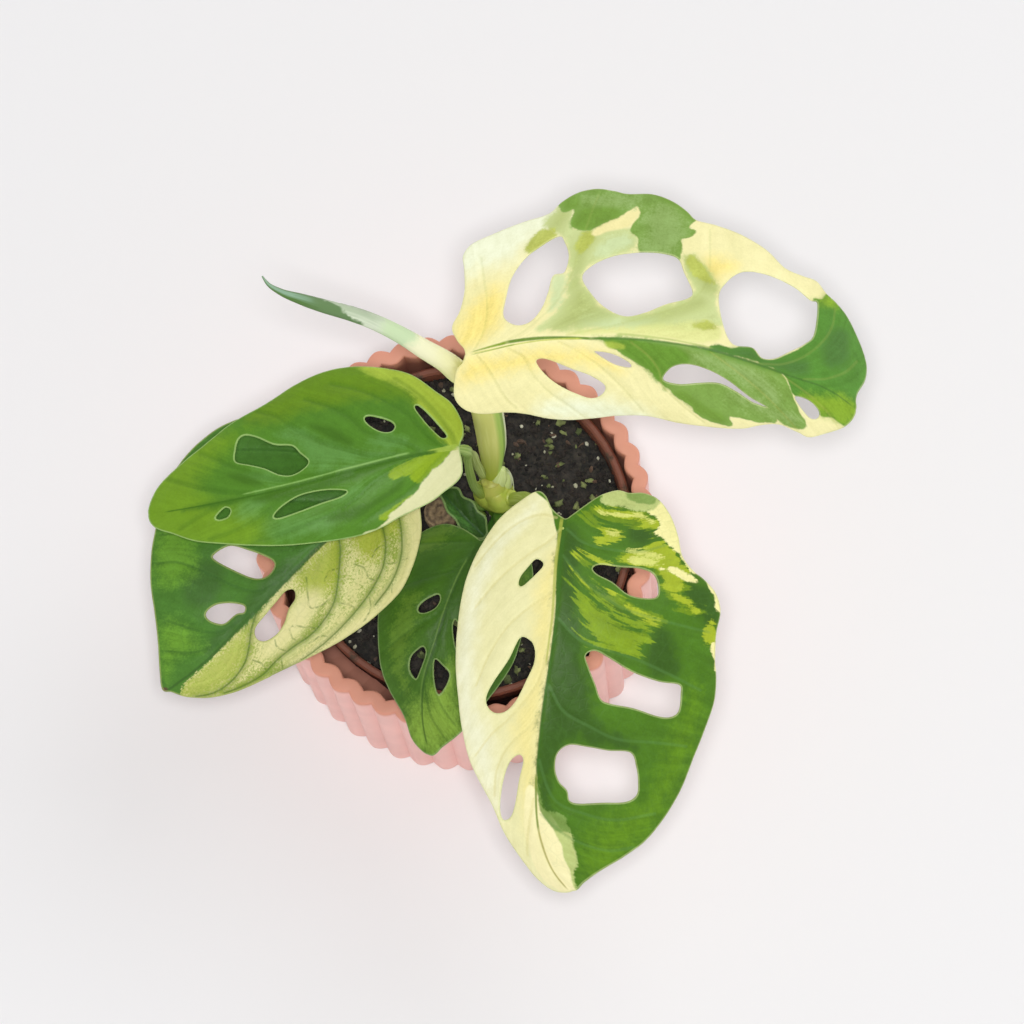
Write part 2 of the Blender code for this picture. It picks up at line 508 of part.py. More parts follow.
def nursery_pot():
    """Thin plastic pot with a stepped rim band and a ring of drain holes in its floor."""
    step = NURSERY_TOP - NURSERY_RIM_HEIGHT
    floor = NURSERY_BOTTOM + 1.5
    inside_top = NURSERY_RIM_RADIUS - NURSERY_RIM_WALL
    profile = [
        (0, floor), (inner_radius(floor), floor), (inner_radius(step), step),
        (inside_top, NURSERY_TOP - 0.5), (inside_top + 0.6, NURSERY_TOP), (NURSERY_RIM_RADIUS - 0.6, NURSERY_TOP),
        (NURSERY_RIM_RADIUS, NURSERY_TOP - 0.6), (NURSERY_RIM_RADIUS - 0.3, step),
        (inner_radius(step) + NURSERY_WALL, step - 0.6), (NURSERY_FOOT_RADIUS, NURSERY_BOTTOM + 1),
        (NURSERY_FOOT_RADIUS - 1, NURSERY_BOTTOM), (0, NURSERY_BOTTOM),
    ]
    pot = placed("nursery_pot", turned("nursery_pot", profile, 56), material("nursery_pot", (0.30, 0.10, 0.06), 0.5))
    for i in range(6):
        turn = i * np.pi / 3
        drill = bmesh.new()
        bmesh.ops.create_cone(drill, cap_ends=True, segments=12, radius1=DRAIN_RADIUS * MM,
                              radius2=DRAIN_RADIUS * MM, depth=8 * MM)
        mesh = bpy.data.meshes.new("drain")
        drill.to_mesh(mesh)
        drill.free()
        hole = cutter(f"drain_{i}", mesh)
        hole.location = ((NURSERY_X + DRAIN_CIRCLE * np.cos(turn)) * MM,
                         (NURSERY_Y + DRAIN_CIRCLE * np.sin(turn)) * MM, NURSERY_BOTTOM * MM)
        combine(pot, hole, "DIFFERENCE")
    return pot


def soil():
    """Potting mix that fills the nursery pot, with an uneven top."""
    floor = NURSERY_BOTTOM + 1.5 + GAP
    rim = inner_radius(SOIL_TOP) - GAP - 0.1
    rings = [(rim * k / 9, SOIL_TOP) for k in range(10)]
    profile = rings + [(inner_radius(floor) - GAP, floor), (0, floor)]
    mesh = turned("soil", profile, 40)
    for vertex in mesh.vertices:
        if vertex.co.z > (SOIL_TOP - 1) * MM:
            lump = noise.fractal(Vector((vertex.co.x, vertex.co.y, 0.3)) / (11 * MM), 0.8, 2.0, 3)
            vertex.co.z += 0.9 * MM * lump
    return placed("soil", mesh, material("soil", (0.03, 0.025, 0.02), 0.95))


green_stem = (0.33, 0.42, 0.12)
cover_pot()
nursery_pot()
bed = soil()

stem = placed("main_stem", tube_mesh("main_stem", STEM, 12, 12), material("main_stem", green_stem, 0.5))
bud = cutter("bud", tube_mesh("bud", BUD, 6, 8))
combine(stem, bud, "UNION")
stem_room = cutter("stem_room", tube_mesh("stem_room", STEM, 12, 12, GAP))
bud_room = cutter("bud_room", tube_mesh("bud_room", BUD, 6, 8, GAP))
combine(bed, stem_room, "DIFFERENCE")

stump = placed("cut_stump", tube_mesh("cut_stump", STUMP, 2, 16), material("cut_stump", (0.20, 0.13, 0.08), 0.9))
stump_room = cutter("stump_room", tube_mesh("stump_room", STUMP, 2, 16, GAP))
combine(bed, stump_room, "DIFFERENCE")

for label, row in STALKS.items():
    count = 16 if label == "petiole_a" else 9
    sides = 12 if label == "petiole_a" else 10
    stalk = placed(label, tube_mesh(label, row, count, sides), material(label, green_stem, 0.45))
    combine(stalk, stem_room, "DIFFERENCE")
    if label == "petiole_a":
        combine(stalk, bud_room, "DIFFERENCE")
    leaf_name = "leaf_" + label[-1]
    combine(stalk, under_blade("under_" + leaf_name, LEAVES[leaf_name]), "DIFFERENCE")
    blade(leaf_name, LEAVES[leaf_name])

spear = placed("rolled_leaf", tube_mesh("rolled_leaf", SPEAR, 18, 10), material("rolled_leaf", (0.40, 0.52, 0.30), 0.4))
sheath_room = cutter("sheath_room", tube_mesh("sheath_room", STALKS["petiole_a"], 16, 12, GAP))
combine(spear, sheath_room, "DIFFERENCE")
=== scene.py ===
"""Variegated Swiss cheese vine, Monstera adansonii, in its nursery pot inside a fluted cover pot.

The looks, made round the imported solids. Shapes are written in millimetres and scaled to metres as
they are made. A leaf is measured along its middle rib (u) and across it (v).
"""

import bmesh
import bpy
import numpy as np
from mathutils import Matrix, Vector, geometry, kdtree, noise


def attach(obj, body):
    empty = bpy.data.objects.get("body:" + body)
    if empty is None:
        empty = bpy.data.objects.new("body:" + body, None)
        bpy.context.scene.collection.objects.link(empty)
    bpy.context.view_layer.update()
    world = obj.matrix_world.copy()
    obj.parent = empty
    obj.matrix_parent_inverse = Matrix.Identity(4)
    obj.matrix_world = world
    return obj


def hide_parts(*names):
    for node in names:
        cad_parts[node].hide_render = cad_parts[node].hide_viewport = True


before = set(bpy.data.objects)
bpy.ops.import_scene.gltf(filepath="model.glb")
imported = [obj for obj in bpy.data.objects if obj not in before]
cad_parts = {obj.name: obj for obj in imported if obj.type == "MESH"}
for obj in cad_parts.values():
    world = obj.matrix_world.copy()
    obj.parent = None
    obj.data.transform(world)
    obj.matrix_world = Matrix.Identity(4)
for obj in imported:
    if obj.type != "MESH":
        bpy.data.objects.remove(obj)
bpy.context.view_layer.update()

MM = 0.001
RIGHT, UP = (1, 0, 0), (0, 0, 1)

# Meshing: points on a smooth curve from one given point to the next, spacing of a blade's points, and
# how far apart the rows of even triangles are for a spacing of 1.
CURVE_STEPS = 12
LEAF_STEP = 0.75
ROW_SPACING = 0.866

# Blades. What counts as the start of a side vein lies this near the middle rib. Lanes between the veins
# are 12 mm wide as the finish counts them. Leaves under the full length have lower relief.
BLADE_THICKNESS = 0.5
ROUNDED_EDGE = 0.18
RIB_FOOT = 6
VEIN_START = 3
BEYOND_VEIN = 20
LANE = 12
FULL_LENGTH = 60
WAVE_HEIGHT, WAVE_LENGTH = 0.5, 13
DENT_HEIGHT, DENT_LENGTH = 0.07, 2.6
CUSHION_REACH, EDGE_REACH = 2.6, 3.5
VEIN_GROOVE, VEIN_GROOVE_WIDTH = 0.12, 0.4
RIB_GROOVE, RIB_GROOVE_WIDTH = 0.3, 0.7
VEIN_HEIGHT, VEIN_WIDTH = 0.2, 0.5
RIB_HEIGHT, RIB_WIDTH = 1.1, 0.9

# Shine of stalks and stem, and of the leaves, whose wax dulls it.
SKIN = {"IOR": 1.42}
WAX = {"IOR": 1.42, "Specular IOR Level": 0.25}
FRECKLE_SOFTNESS = 0.32

POT_HEIGHT = 78.0
POT_FLUTES = 48
POT_CREST_RADIUS = 60.0
POT_FLUTE_DEPTH = 1.8
POT_INNER_RADIUS = 54.0
POT_INNER_DEPTH = 1.5
POT_FLOOR = 4.0
POT_DRAFT = 0.4
POT_SOFT_EDGE = 0.9
FIRST_CREST = 1.5
FLUTE_STEPS = 14

NURSERY_X, NURSERY_Y = 2.2, 0.3
SOIL_TOP = 70.8
SOIL_FLOOR = 6.1
SOIL_RADIUS_TOP = 48.0
SOIL_RADIUS_FLOOR = 42.4

# Each leaf: where the stalk meets the blade, the compass heading of its tip, a size factor, and rows
# along the middle rib of (distance from the base, sideways, rise). Then come the two halves, left and
# right of that heading: fold at the rib in degrees and curl in degrees for each mm, at the base and at
# the tip. The edge and the holes are points (along, across) that a smooth closed curve runs through.
LEAVES = {
    "leaf_a": {
        "base": (8.4, 32.7, 165.0), "heading": -7.0, "size": 1.035,
        "rib": [(0, 0, 0), (21, 6.2, 4), (38, 8.5, 5), (61, 8.7, 3), (88, 5.2, -4),
                (101, 3.2, -10), (110, -0.5, -17)],
        "left": (-5, -0.4, -9, -0.52), "right": (-34, -0.77, -34, -0.77),
        "edge": [(-1.5, 1.5), (-4, 5), (-6, 9.5), (-4.5, 14), (-4, 20), (-5, 27), (-6, 32),
                 (-4, 35.5), (2, 37.5), (9, 39), (16, 40.5), (19, 44), (23, 47), (28, 48.2),
                 (33, 47.6), (37, 46.8), (44, 47.3), (50, 45.2), (54, 42.6), (57, 40.2),
                 (63, 40), (70, 39.4), (77, 37), (83, 33.3), (88, 32.9), (92, 32.6),
                 (95.3, 29.3), (101, 25.7), (105.7, 20.9), (108.6, 16), (108.9, 10.8),
                 (107.2, 5), (107, 2.5), (107.4, 0), (106, -4.5), (102.5, -10), (96, -16.2),
                 (92, -16), (87, -15.4), (82, -17.5), (76, -21.3), (68, -24), (59, -25),
                 (50, -24.5), (42, -25.5), (36, -27), (30, -27.8), (24, -26.8), (17, -23.8),
                 (11, -21.8), (5, -20.5), (0, -17.5), (-3, -13), (-3.5, -8), (-3, -4), (-1.5, -2)],
        "holes": [
            [(7.8, 9), (7.6, 15), (8.3, 21), (11, 26), (15, 29.3), (20, 32), (22, 29.5),
             (23.6, 25), (23, 19.8), (20, 19), (19.4, 14), (18.2, 9), (15.5, 5.4), (11.5, 5.4)],
            [(28, 17.5), (30, 21.5), (35, 24.5), (41, 26.2), (48, 27), (53.5, 26.2), (56, 22),
             (59, 16.5), (57.5, 13.8), (52, 11), (47, 7.8), (42, 6), (37.5, 7.2), (32.5, 11)],
            [(66, 17), (67.5, 22), (71, 26.5), (76, 28.6), (82, 29), (87, 28), (91, 25.6),
             (93.2, 25), (93.4, 15), (91, 10.8), (87, 6.8), (83.5, 3.6), (80, 2.5), (77, 4.5),
             (71.5, 3.7), (68, 9)],
            [(18.3, -7), (20, -6), (24, -7.6), (29, -10.2), (34, -12.4), (38, -15.3),
             (37.5, -18.2), (34.5, -20), (30, -18.5), (25, -15.3), (21, -11.3)],
            [(34, -4.8), (37.5, -5), (41, -6), (44.5, -8), (44.2, -9.4), (40, -8.8), (36, -6.6)],
            [(53.6, -11.8), (55, -8), (58, -5.9), (62, -5.3), (67, -5.9), (72, -7.4),
             (78, -10.1), (83, -11.4), (79, -11.6), (74, -10), (69, -9.1), (63, -10.8),
             (58, -12.3)],
            [(90, -5.5), (92, -4.7), (95, -5.3), (97.3, -7.2), (97.3, -9.5), (95.2, -10.6),
             (92.5, -8.6)],
        ],
    },
    "leaf_b": {
        "base": (3.5, 12.4, 135.0), "heading": 191.0, "size": 1.022,
        "rib": [(0, 0, 0), (15, 0.8, 3.5), (32, 2.2, 4.5), (53, 3.1, 2), (74, 2.3, -3),
                (90, 0.4, -10)],
        "left": (-14, -0.7, -14, -0.7), "right": (-6, -0.6, -6, -0.6),
        "edge": [(-0.4, 1.5), (-0.4, 4.7), (0.2, 7.8), (2.2, 9.9), (6, 11.9), (10, 14),
                 (15.5, 15.5), (20, 16.5), (25, 17.9), (31, 18.6), (38, 18.2), (45, 17.2),
                 (54, 15.8), (63, 13.7), (71, 11.7), (78, 9.6), (84, 6.5), (89, 3.8), (90.3, 0),
                 (88.2, -5), (84.5, -9.5), (78, -14), (71, -18.3), (64, -22.9), (57, -26),
                 (50, -28.4), (42, -31.7), (33, -33.7), (25, -32.8), (16, -29.4), (9, -25),
                 (3, -18), (-0.5, -13.5), (-2.5, -7.5), (-2.3, -3.5), (-1, -1)],
        "holes": [
            [(2.2, -4), (3.6, -3.3), (5.4, -5.4), (7.8, -9.4), (9.9, -14), (9, -15), (7.2, -13),
             (4.5, -8.6)],
            [(16.2, -9.6), (17.6, -8.3), (20.4, -9), (23.2, -11.6), (24.5, -14.2), (23.4, -15.1),
             (20, -13.5), (17, -11.4)],
            [(42, -6), (44, -4.1), (47.5, -3.2), (51, -4.2), (55, -7.2), (59, -9.3),
             (62.8, -11.3), (62.3, -15), (61, -18.2), (58.8, -19.2), (55.5, -17.6), (51, -14),
             (46, -12.2), (44, -9.2)],
            [(33, 5.2), (35, 6.5), (41, 6.9), (48, 7.6), (53.5, 8), (54.8, 6.9), (51.5, 4.6),
             (46, 3), (39, 3.4)],
            [(66.4, 2.8), (67.6, 4.6), (70.3, 5), (71.2, 4), (69.2, 2.3), (67.6, 1.7)],
        ],
    },
    "leaf_c": {
        "base": (-13.0, 12.1, 112.0), "heading": 223.0, "size": 1.0,
        "rib": [(0, 0, 0), (25, 1, 4), (52, 2, 3), (67, 2.3, 0), (82, 2.3, -4), (96.5, 0, -9)],
        "left": (-16, -0.6, -16, -0.6), "right": (2, -0.3, 2, -0.3),
        "edge": [(0, 1.5), (1, 6), (5, 12), (9, 17.5), (14, 21.5), (20, 25), (26, 27.2),
                 (33, 27.3), (41, 26.5), (50, 24.6), (58, 21.9), (66, 19), (74, 16), (82, 12.8),
                 (88, 9.5), (92.5, 5.5), (95, 1.5), (96.5, -0.5), (93, -6), (88, -13),
                 (83, -20.5), (78, -28), (72, -34.3), (66, -39), (60, -43.5), (53, -46.8),
                 (45, -48.3), (38, -48.2), (31, -46.8), (23, -43), (15, -37), (8, -29), (3, -20),
                 (-1, -12), (-2, -5), (-1, -1.3)],
        "holes": [
            [(47.8, -6), (49.2, -4.4), (52.5, -4.2), (55.5, -6.5), (58, -12), (60.2, -19),
             (59, -20.4), (54, -18.8), (51, -14), (48.8, -9.5)],
            [(62.8, -3), (64.3, -1.6), (66.4, -2.9), (70.8, -3.5), (73, -6.5), (73.2, -9.2),
             (71.4, -10), (68.3, -9.2), (65, -6.4)],
            [(49, 4.2), (50.5, 6.4), (54, 7.3), (57.5, 9.2), (61.5, 9.9), (65.4, 8.8),
             (66.7, 6.4), (65, 3.9), (60, 3.2), (55, 2.8), (51, 2.6)],
        ],
    },
    "leaf_d": {
        "base": (7.3, -10.0, 99.0), "heading": 257.0, "size": 1.01,
        "rib": [(0, 0, 0), (10, -2.2, 3), (30, -4.3, 3), (44, -5.2, -2), (52, -3.7, -7),
                (61, 0.3, -12)],
        "left": (-8, -1, -8, -1), "right": (-8, -1, -8, -1),
        "edge": [(-3, 0.5), (-4.2, 2.5), (-5.2, 6), (-4.5, 11), (-1.5, 16), (4, 20), (11, 22.8),
                 (20, 24.2), (28, 24.3), (34, 23), (40, 20.7), (46, 17), (51, 13), (54, 9.8),
                 (57.5, 5), (60.8, 0.3), (58, -4), (52, -5.6), (46, -10), (40, -14), (33, -17.6),
                 (25, -20.5), (17, -21.8), (9, -21.8), (2, -20.3), (-3, -17.5), (-5.8, -13),
                 (-5.6, -8), (-4.2, -3.5), (-3, -0.5)],
        "holes": [
            [(16.4, -4), (18, -2.7), (20.6, -3.2), (22.6, -5.4), (22.9, -7.6), (21.2, -8.3),
             (18.6, -6.8)],
            [(32.2, -3.3), (33.8, -1.9), (38, -1.8), (41.6, -2.5), (39.5, -5), (36, -5.9),
             (33.6, -4.8)],
            [(35.2, 1.2), (36.2, 4.2), (38, 6.8), (41.5, 6.6), (44.4, 4.8), (41.5, 3)],
            [(22.5, 3.4), (25, 3.3), (30, 5.6), (31.5, 7.6), (28.5, 7.4), (25, 5.6)],
        ],
    },
    "leaf_e": {
        "base": (35.1, -12.6, 148.0), "heading": 271.0, "size": 1.028,
        "rib": [(0, 0, 0), (11, -1.3, 2.5), (26, -2.4, 3), (41, -4.7, 1), (57, -7.5, -3.5),
                (72, -9, -11), (87, -7.5, -19), (96, -3.2, -25), (101, 1.5, -29)],
        "left": (-8, -0.4, -8, -0.4), "right": (-20, -0.7, -20, -0.7),
        "edge": [(-1, 0.5), (-2, 2), (-5, 5.5), (-8, 9.5), (-9.6, 14), (-9, 17.5), (-9.2, 21.5),
                 (-7.5, 26), (-3, 30), (3, 33), (9, 35), (13, 38.5), (15.2, 42), (19, 46),
                 (24, 47.8), (30, 47.2), (37, 47.8), (43, 49.3), (49, 49.7), (56, 48),
                 (64, 45.4), (72, 42), (80, 36.5), (86, 29.7), (90.5, 21.5), (94, 13.5),
                 (97.5, 5.5), (99.8, 0), (99, -5.8), (92, -8), (84, -10.8), (77, -13.5),
                 (70, -18), (64, -22), (56, -25.6), (48, -28.4), (39, -31.5), (30, -33.4),
                 (21, -33), (12, -30.5), (4, -26.8), (-3, -21.5), (-7.5, -15.5), (-10, -10),
                 (-8.5, -7), (-4.5, -4.6), (-1.8, -1.5)],
        "holes": [
            [(12.4, 11.5), (13, 17), (13.2, 23), (14.6, 27), (18, 28.7), (21.3, 28.3),
             (21.8, 24), (20.8, 19.6), (17.6, 15.2), (15.4, 10.8), (13.6, 9.4)],
            [(36.6, 12.4), (38.6, 17), (42, 24), (44.2, 32), (44.8, 38.4), (47.5, 39.4),
             (52, 39.5), (53.8, 37.2), (53.7, 33), (52, 26), (51, 19), (49.8, 16), (46, 13.8),
             (41.5, 11.2), (38, 9.8)],
            [(61.8, 8.8), (62.2, 14), (63, 20), (63.3, 26.6), (67, 28.7), (71, 29.4),
             (74.5, 28.8), (76.4, 25.5), (76.8, 19), (77.2, 12), (76.4, 9.2), (73.8, 8.6),
             (71.5, 6.4), (68, 5.2), (64, 5.7)],
            [(10.3, -7.4), (11.4, -5.1), (13, -4.8), (15.4, -7.2), (18, -10.8), (17.4, -12.4),
             (15, -12), (12.2, -9.6)],
            [(32.4, -10.5), (33.3, -7), (36, -5), (40, -4.6), (44.5, -6.2), (49.5, -8.2),
             (52.3, -11), (52.6, -14.5), (50.8, -17.5), (47.8, -18.8), (44, -17.2), (38.5, -13.4)],
            [(64, -5.2), (66, -3.8), (71, -5), (77, -6.4), (80.3, -8.2), (80.6, -10.8),
             (77, -11.5), (71, -10.4), (65.6, -8.2)],
        ],
    },
    "leaf_f": {
        "base": (9.2, -3.6, 85.0), "heading": 134.0, "size": 1.0,
        "rib": [(0, 0, 0), (7, 0.4, 2), (14, 0.3, 2.5), (20, 0, 2)],
        "left": (22, -1.5, 22, -1.5), "right": (24, -1.5, 24, -1.5),
        "edge": [(-0.3, 0.5), (0.6, 2), (3, 3), (6, 3.7), (9.2, 2.7), (12.4, 2.9), (15.6, 1.6),
                 (18.3, 0.9), (20, 0), (18, -2.2), (15.4, -4.6), (12.4, -4), (9.4, -5.2),
                 (6.4, -4.3), (3.6, -4.6), (1.4, -2.8), (0, -1.5), (-0.3, -0.5)],
        "holes": [],
    },
}

# Side veins of each blade, as points (along, across) from the middle rib outwards.
VEINS = {
    "leaf_a": [
        [(1, 0.8), (3, 6), (3, 13), (1, 22), (-1, 30)],
        [(8, 0.8), (14, 3), (20, 8), (23.5, 14), (25.2, 20), (26, 27), (27, 34), (28, 41),
         (29, 46)],
        [(26, 0.4), (34, 2), (42, 4.3), (50, 8), (57, 12), (61, 17), (62.5, 23), (62, 30),
         (61, 38)],
        [(80, 0.8), (86, 3), (92, 8), (96, 14), (98, 20), (98, 26)],
        [(92, 0.6), (98, 3), (103, 8), (106, 14)],
        [(2, -0.8), (5, -5), (8, -11), (11, -17), (14, -21)],
        [(10, -0.8), (15, -5), (18, -11), (23, -17.5), (29, -23), (33, -27)],
        [(24, -1.4), (31, -5.5), (38, -11), (44, -17), (49, -23)],
        [(44, -1.5), (49, -5), (52.3, -9), (54, -14), (60, -19), (66, -23)],
        [(66, -0.4), (74, -4), (82, -8), (88, -12), (92, -15.5)],
        [(86, -0.4), (92, -2.5), (99, -6), (103, -9)],
    ],
    "leaf_b": [
        [(0.5, -1), (1, -4), (3, -9), (6, -14.5), (9, -19), (14, -25)],
        [(4, -1), (7, -4), (9.5, -8), (12, -12.5), (16, -17), (21, -21.5), (27, -26), (32, -29)],
        [(11, -1), (15, -4.5), (20, -7.2), (25, -11), (28, -16), (33, -21), (40, -26)],
        [(18, -1), (25, -3), (30, -6), (36, -9.8), (41, -14), (45, -18), (49, -23), (54, -26)],
        [(36, -1), (43, -2.2), (50, -2.4), (56, -5), (62, -8.8), (67, -12.5), (72, -16)],
        [(60, -0.7), (66, -2.5), (73, -5), (79, -8), (83, -10)],
        [(3, 0.8), (7, 3.5), (12, 7.5), (17, 10.5), (23, 12.5), (30, 15)],
        [(12, 1), (20, 3), (26, 5), (31, 8), (38, 10.3), (46, 11.5), (54, 12.4), (60, 12.6)],
        [(30, 1), (40, 2), (50, 2.8), (56, 5), (62, 7.5), (68, 9), (74, 9.8)],
        [(70, 0.8), (76, 3), (82, 5.5)],
    ],
    "leaf_c": [
        [(8, 1.2), (10, 7), (14, 14), (19, 19.5), (26, 23.2), (34, 24.6)],
        [(15.5, 1.2), (16.2, 6), (17.5, 9.5), (20, 13.5), (24, 17.3), (28, 19.3), (34, 21),
         (42, 22), (52, 22), (62, 20.3), (70, 17.4)],
        [(28.5, 1.2), (31, 5), (35, 9), (39, 12.5), (43, 15.3), (48, 16.8), (54, 17.2), (60, 16),
         (66, 15.3), (72, 15.3), (78, 13.6), (84, 11.3)],
        [(62, 1.2), (66, 3.5), (70, 6.7), (74, 9), (80, 10), (86, 9.3), (91, 6.8)],
        [(3, -0.8), (8, -6), (13, -14), (20, -24), (28, -33), (36, -41)],
        [(16, -0.8), (24, -7), (33, -16), (42, -26), (50, -35), (57, -41)],
        [(32, -0.8), (40, -5), (46, -12), (52, -20), (60, -30), (66, -36)],
        [(50, -0.8), (57, -3), (61, -9), (64, -17), (68, -26), (73, -31)],
        [(64, -0.6), (72, -2.2), (77, -7), (82, -16)], [(76, -0.6), (83, -4), (88, -9)],
    ],
    "leaf_d": [
        [(-2, -1), (-1, -6), (0.5, -12), (2, -18)],
        [(5, -0.8), (9, -4), (12, -10), (16, -16), (20, -20)],
        [(15, -0.8), (22, -2), (26, -6), (31, -11), (36, -15)],
        [(28, -0.8), (34, -1.2), (43, -4), (47, -7)],
        [(5, 0.8), (9, 5), (13, 12), (18, 19), (22, 23)],
        [(18, 0.8), (24, 2.6), (32, 6.4), (37, 11), (43, 17)],
        [(30, 0.8), (37, 1.2), (46, 5), (51, 10)], [(44, 0.8), (50, 2.5), (55, 6)],
    ],
    "leaf_e": [
        [(-1.5, -2.5), (-3, -8), (-1, -15), (4, -22), (10, -28)],
        [(2, -0.8), (5.5, -4), (8.5, -9.5), (12, -15), (16, -20.5), (22, -27)],
        [(20, -0.8), (23, -6), (26, -11), (30, -16), (36, -20), (44, -23)],
        [(36, -0.8), (46, -3), (54, -9.5), (58, -15), (63, -20)],
        [(54, -0.8), (57, -3), (60, -7), (63, -10), (68, -12.4), (74, -13)],
        [(76, -0.8), (83, -3), (90, -6)], [(2, 0.8), (6, 6), (8, 13), (8.5, 22), (6, 30)],
        [(10, 0.8), (18, 8), (24, 17), (27, 27), (29, 38), (30, 45)],
        [(28, 0.8), (33.5, 7), (36, 14), (38.5, 24), (42, 34), (46, 45)],
        [(46, 0.8), (53, 6), (57, 14), (60, 22), (60.5, 32), (61, 43)],
        [(66, 0.8), (76, 5), (79.5, 13), (81, 22), (79, 34)],
        [(80, 1), (86, 8), (89, 17), (88, 26)],
    ],
    "leaf_f": [
        [(3, 0.8), (6, 2.2), (9, 2.6)], [(9, 0.8), (12, 2), (14, 2)],
        [(3, -0.8), (6, -2.2), (9, -4.2)], [(9, -0.8), (12, -2), (15, -3.2)],
    ],
}

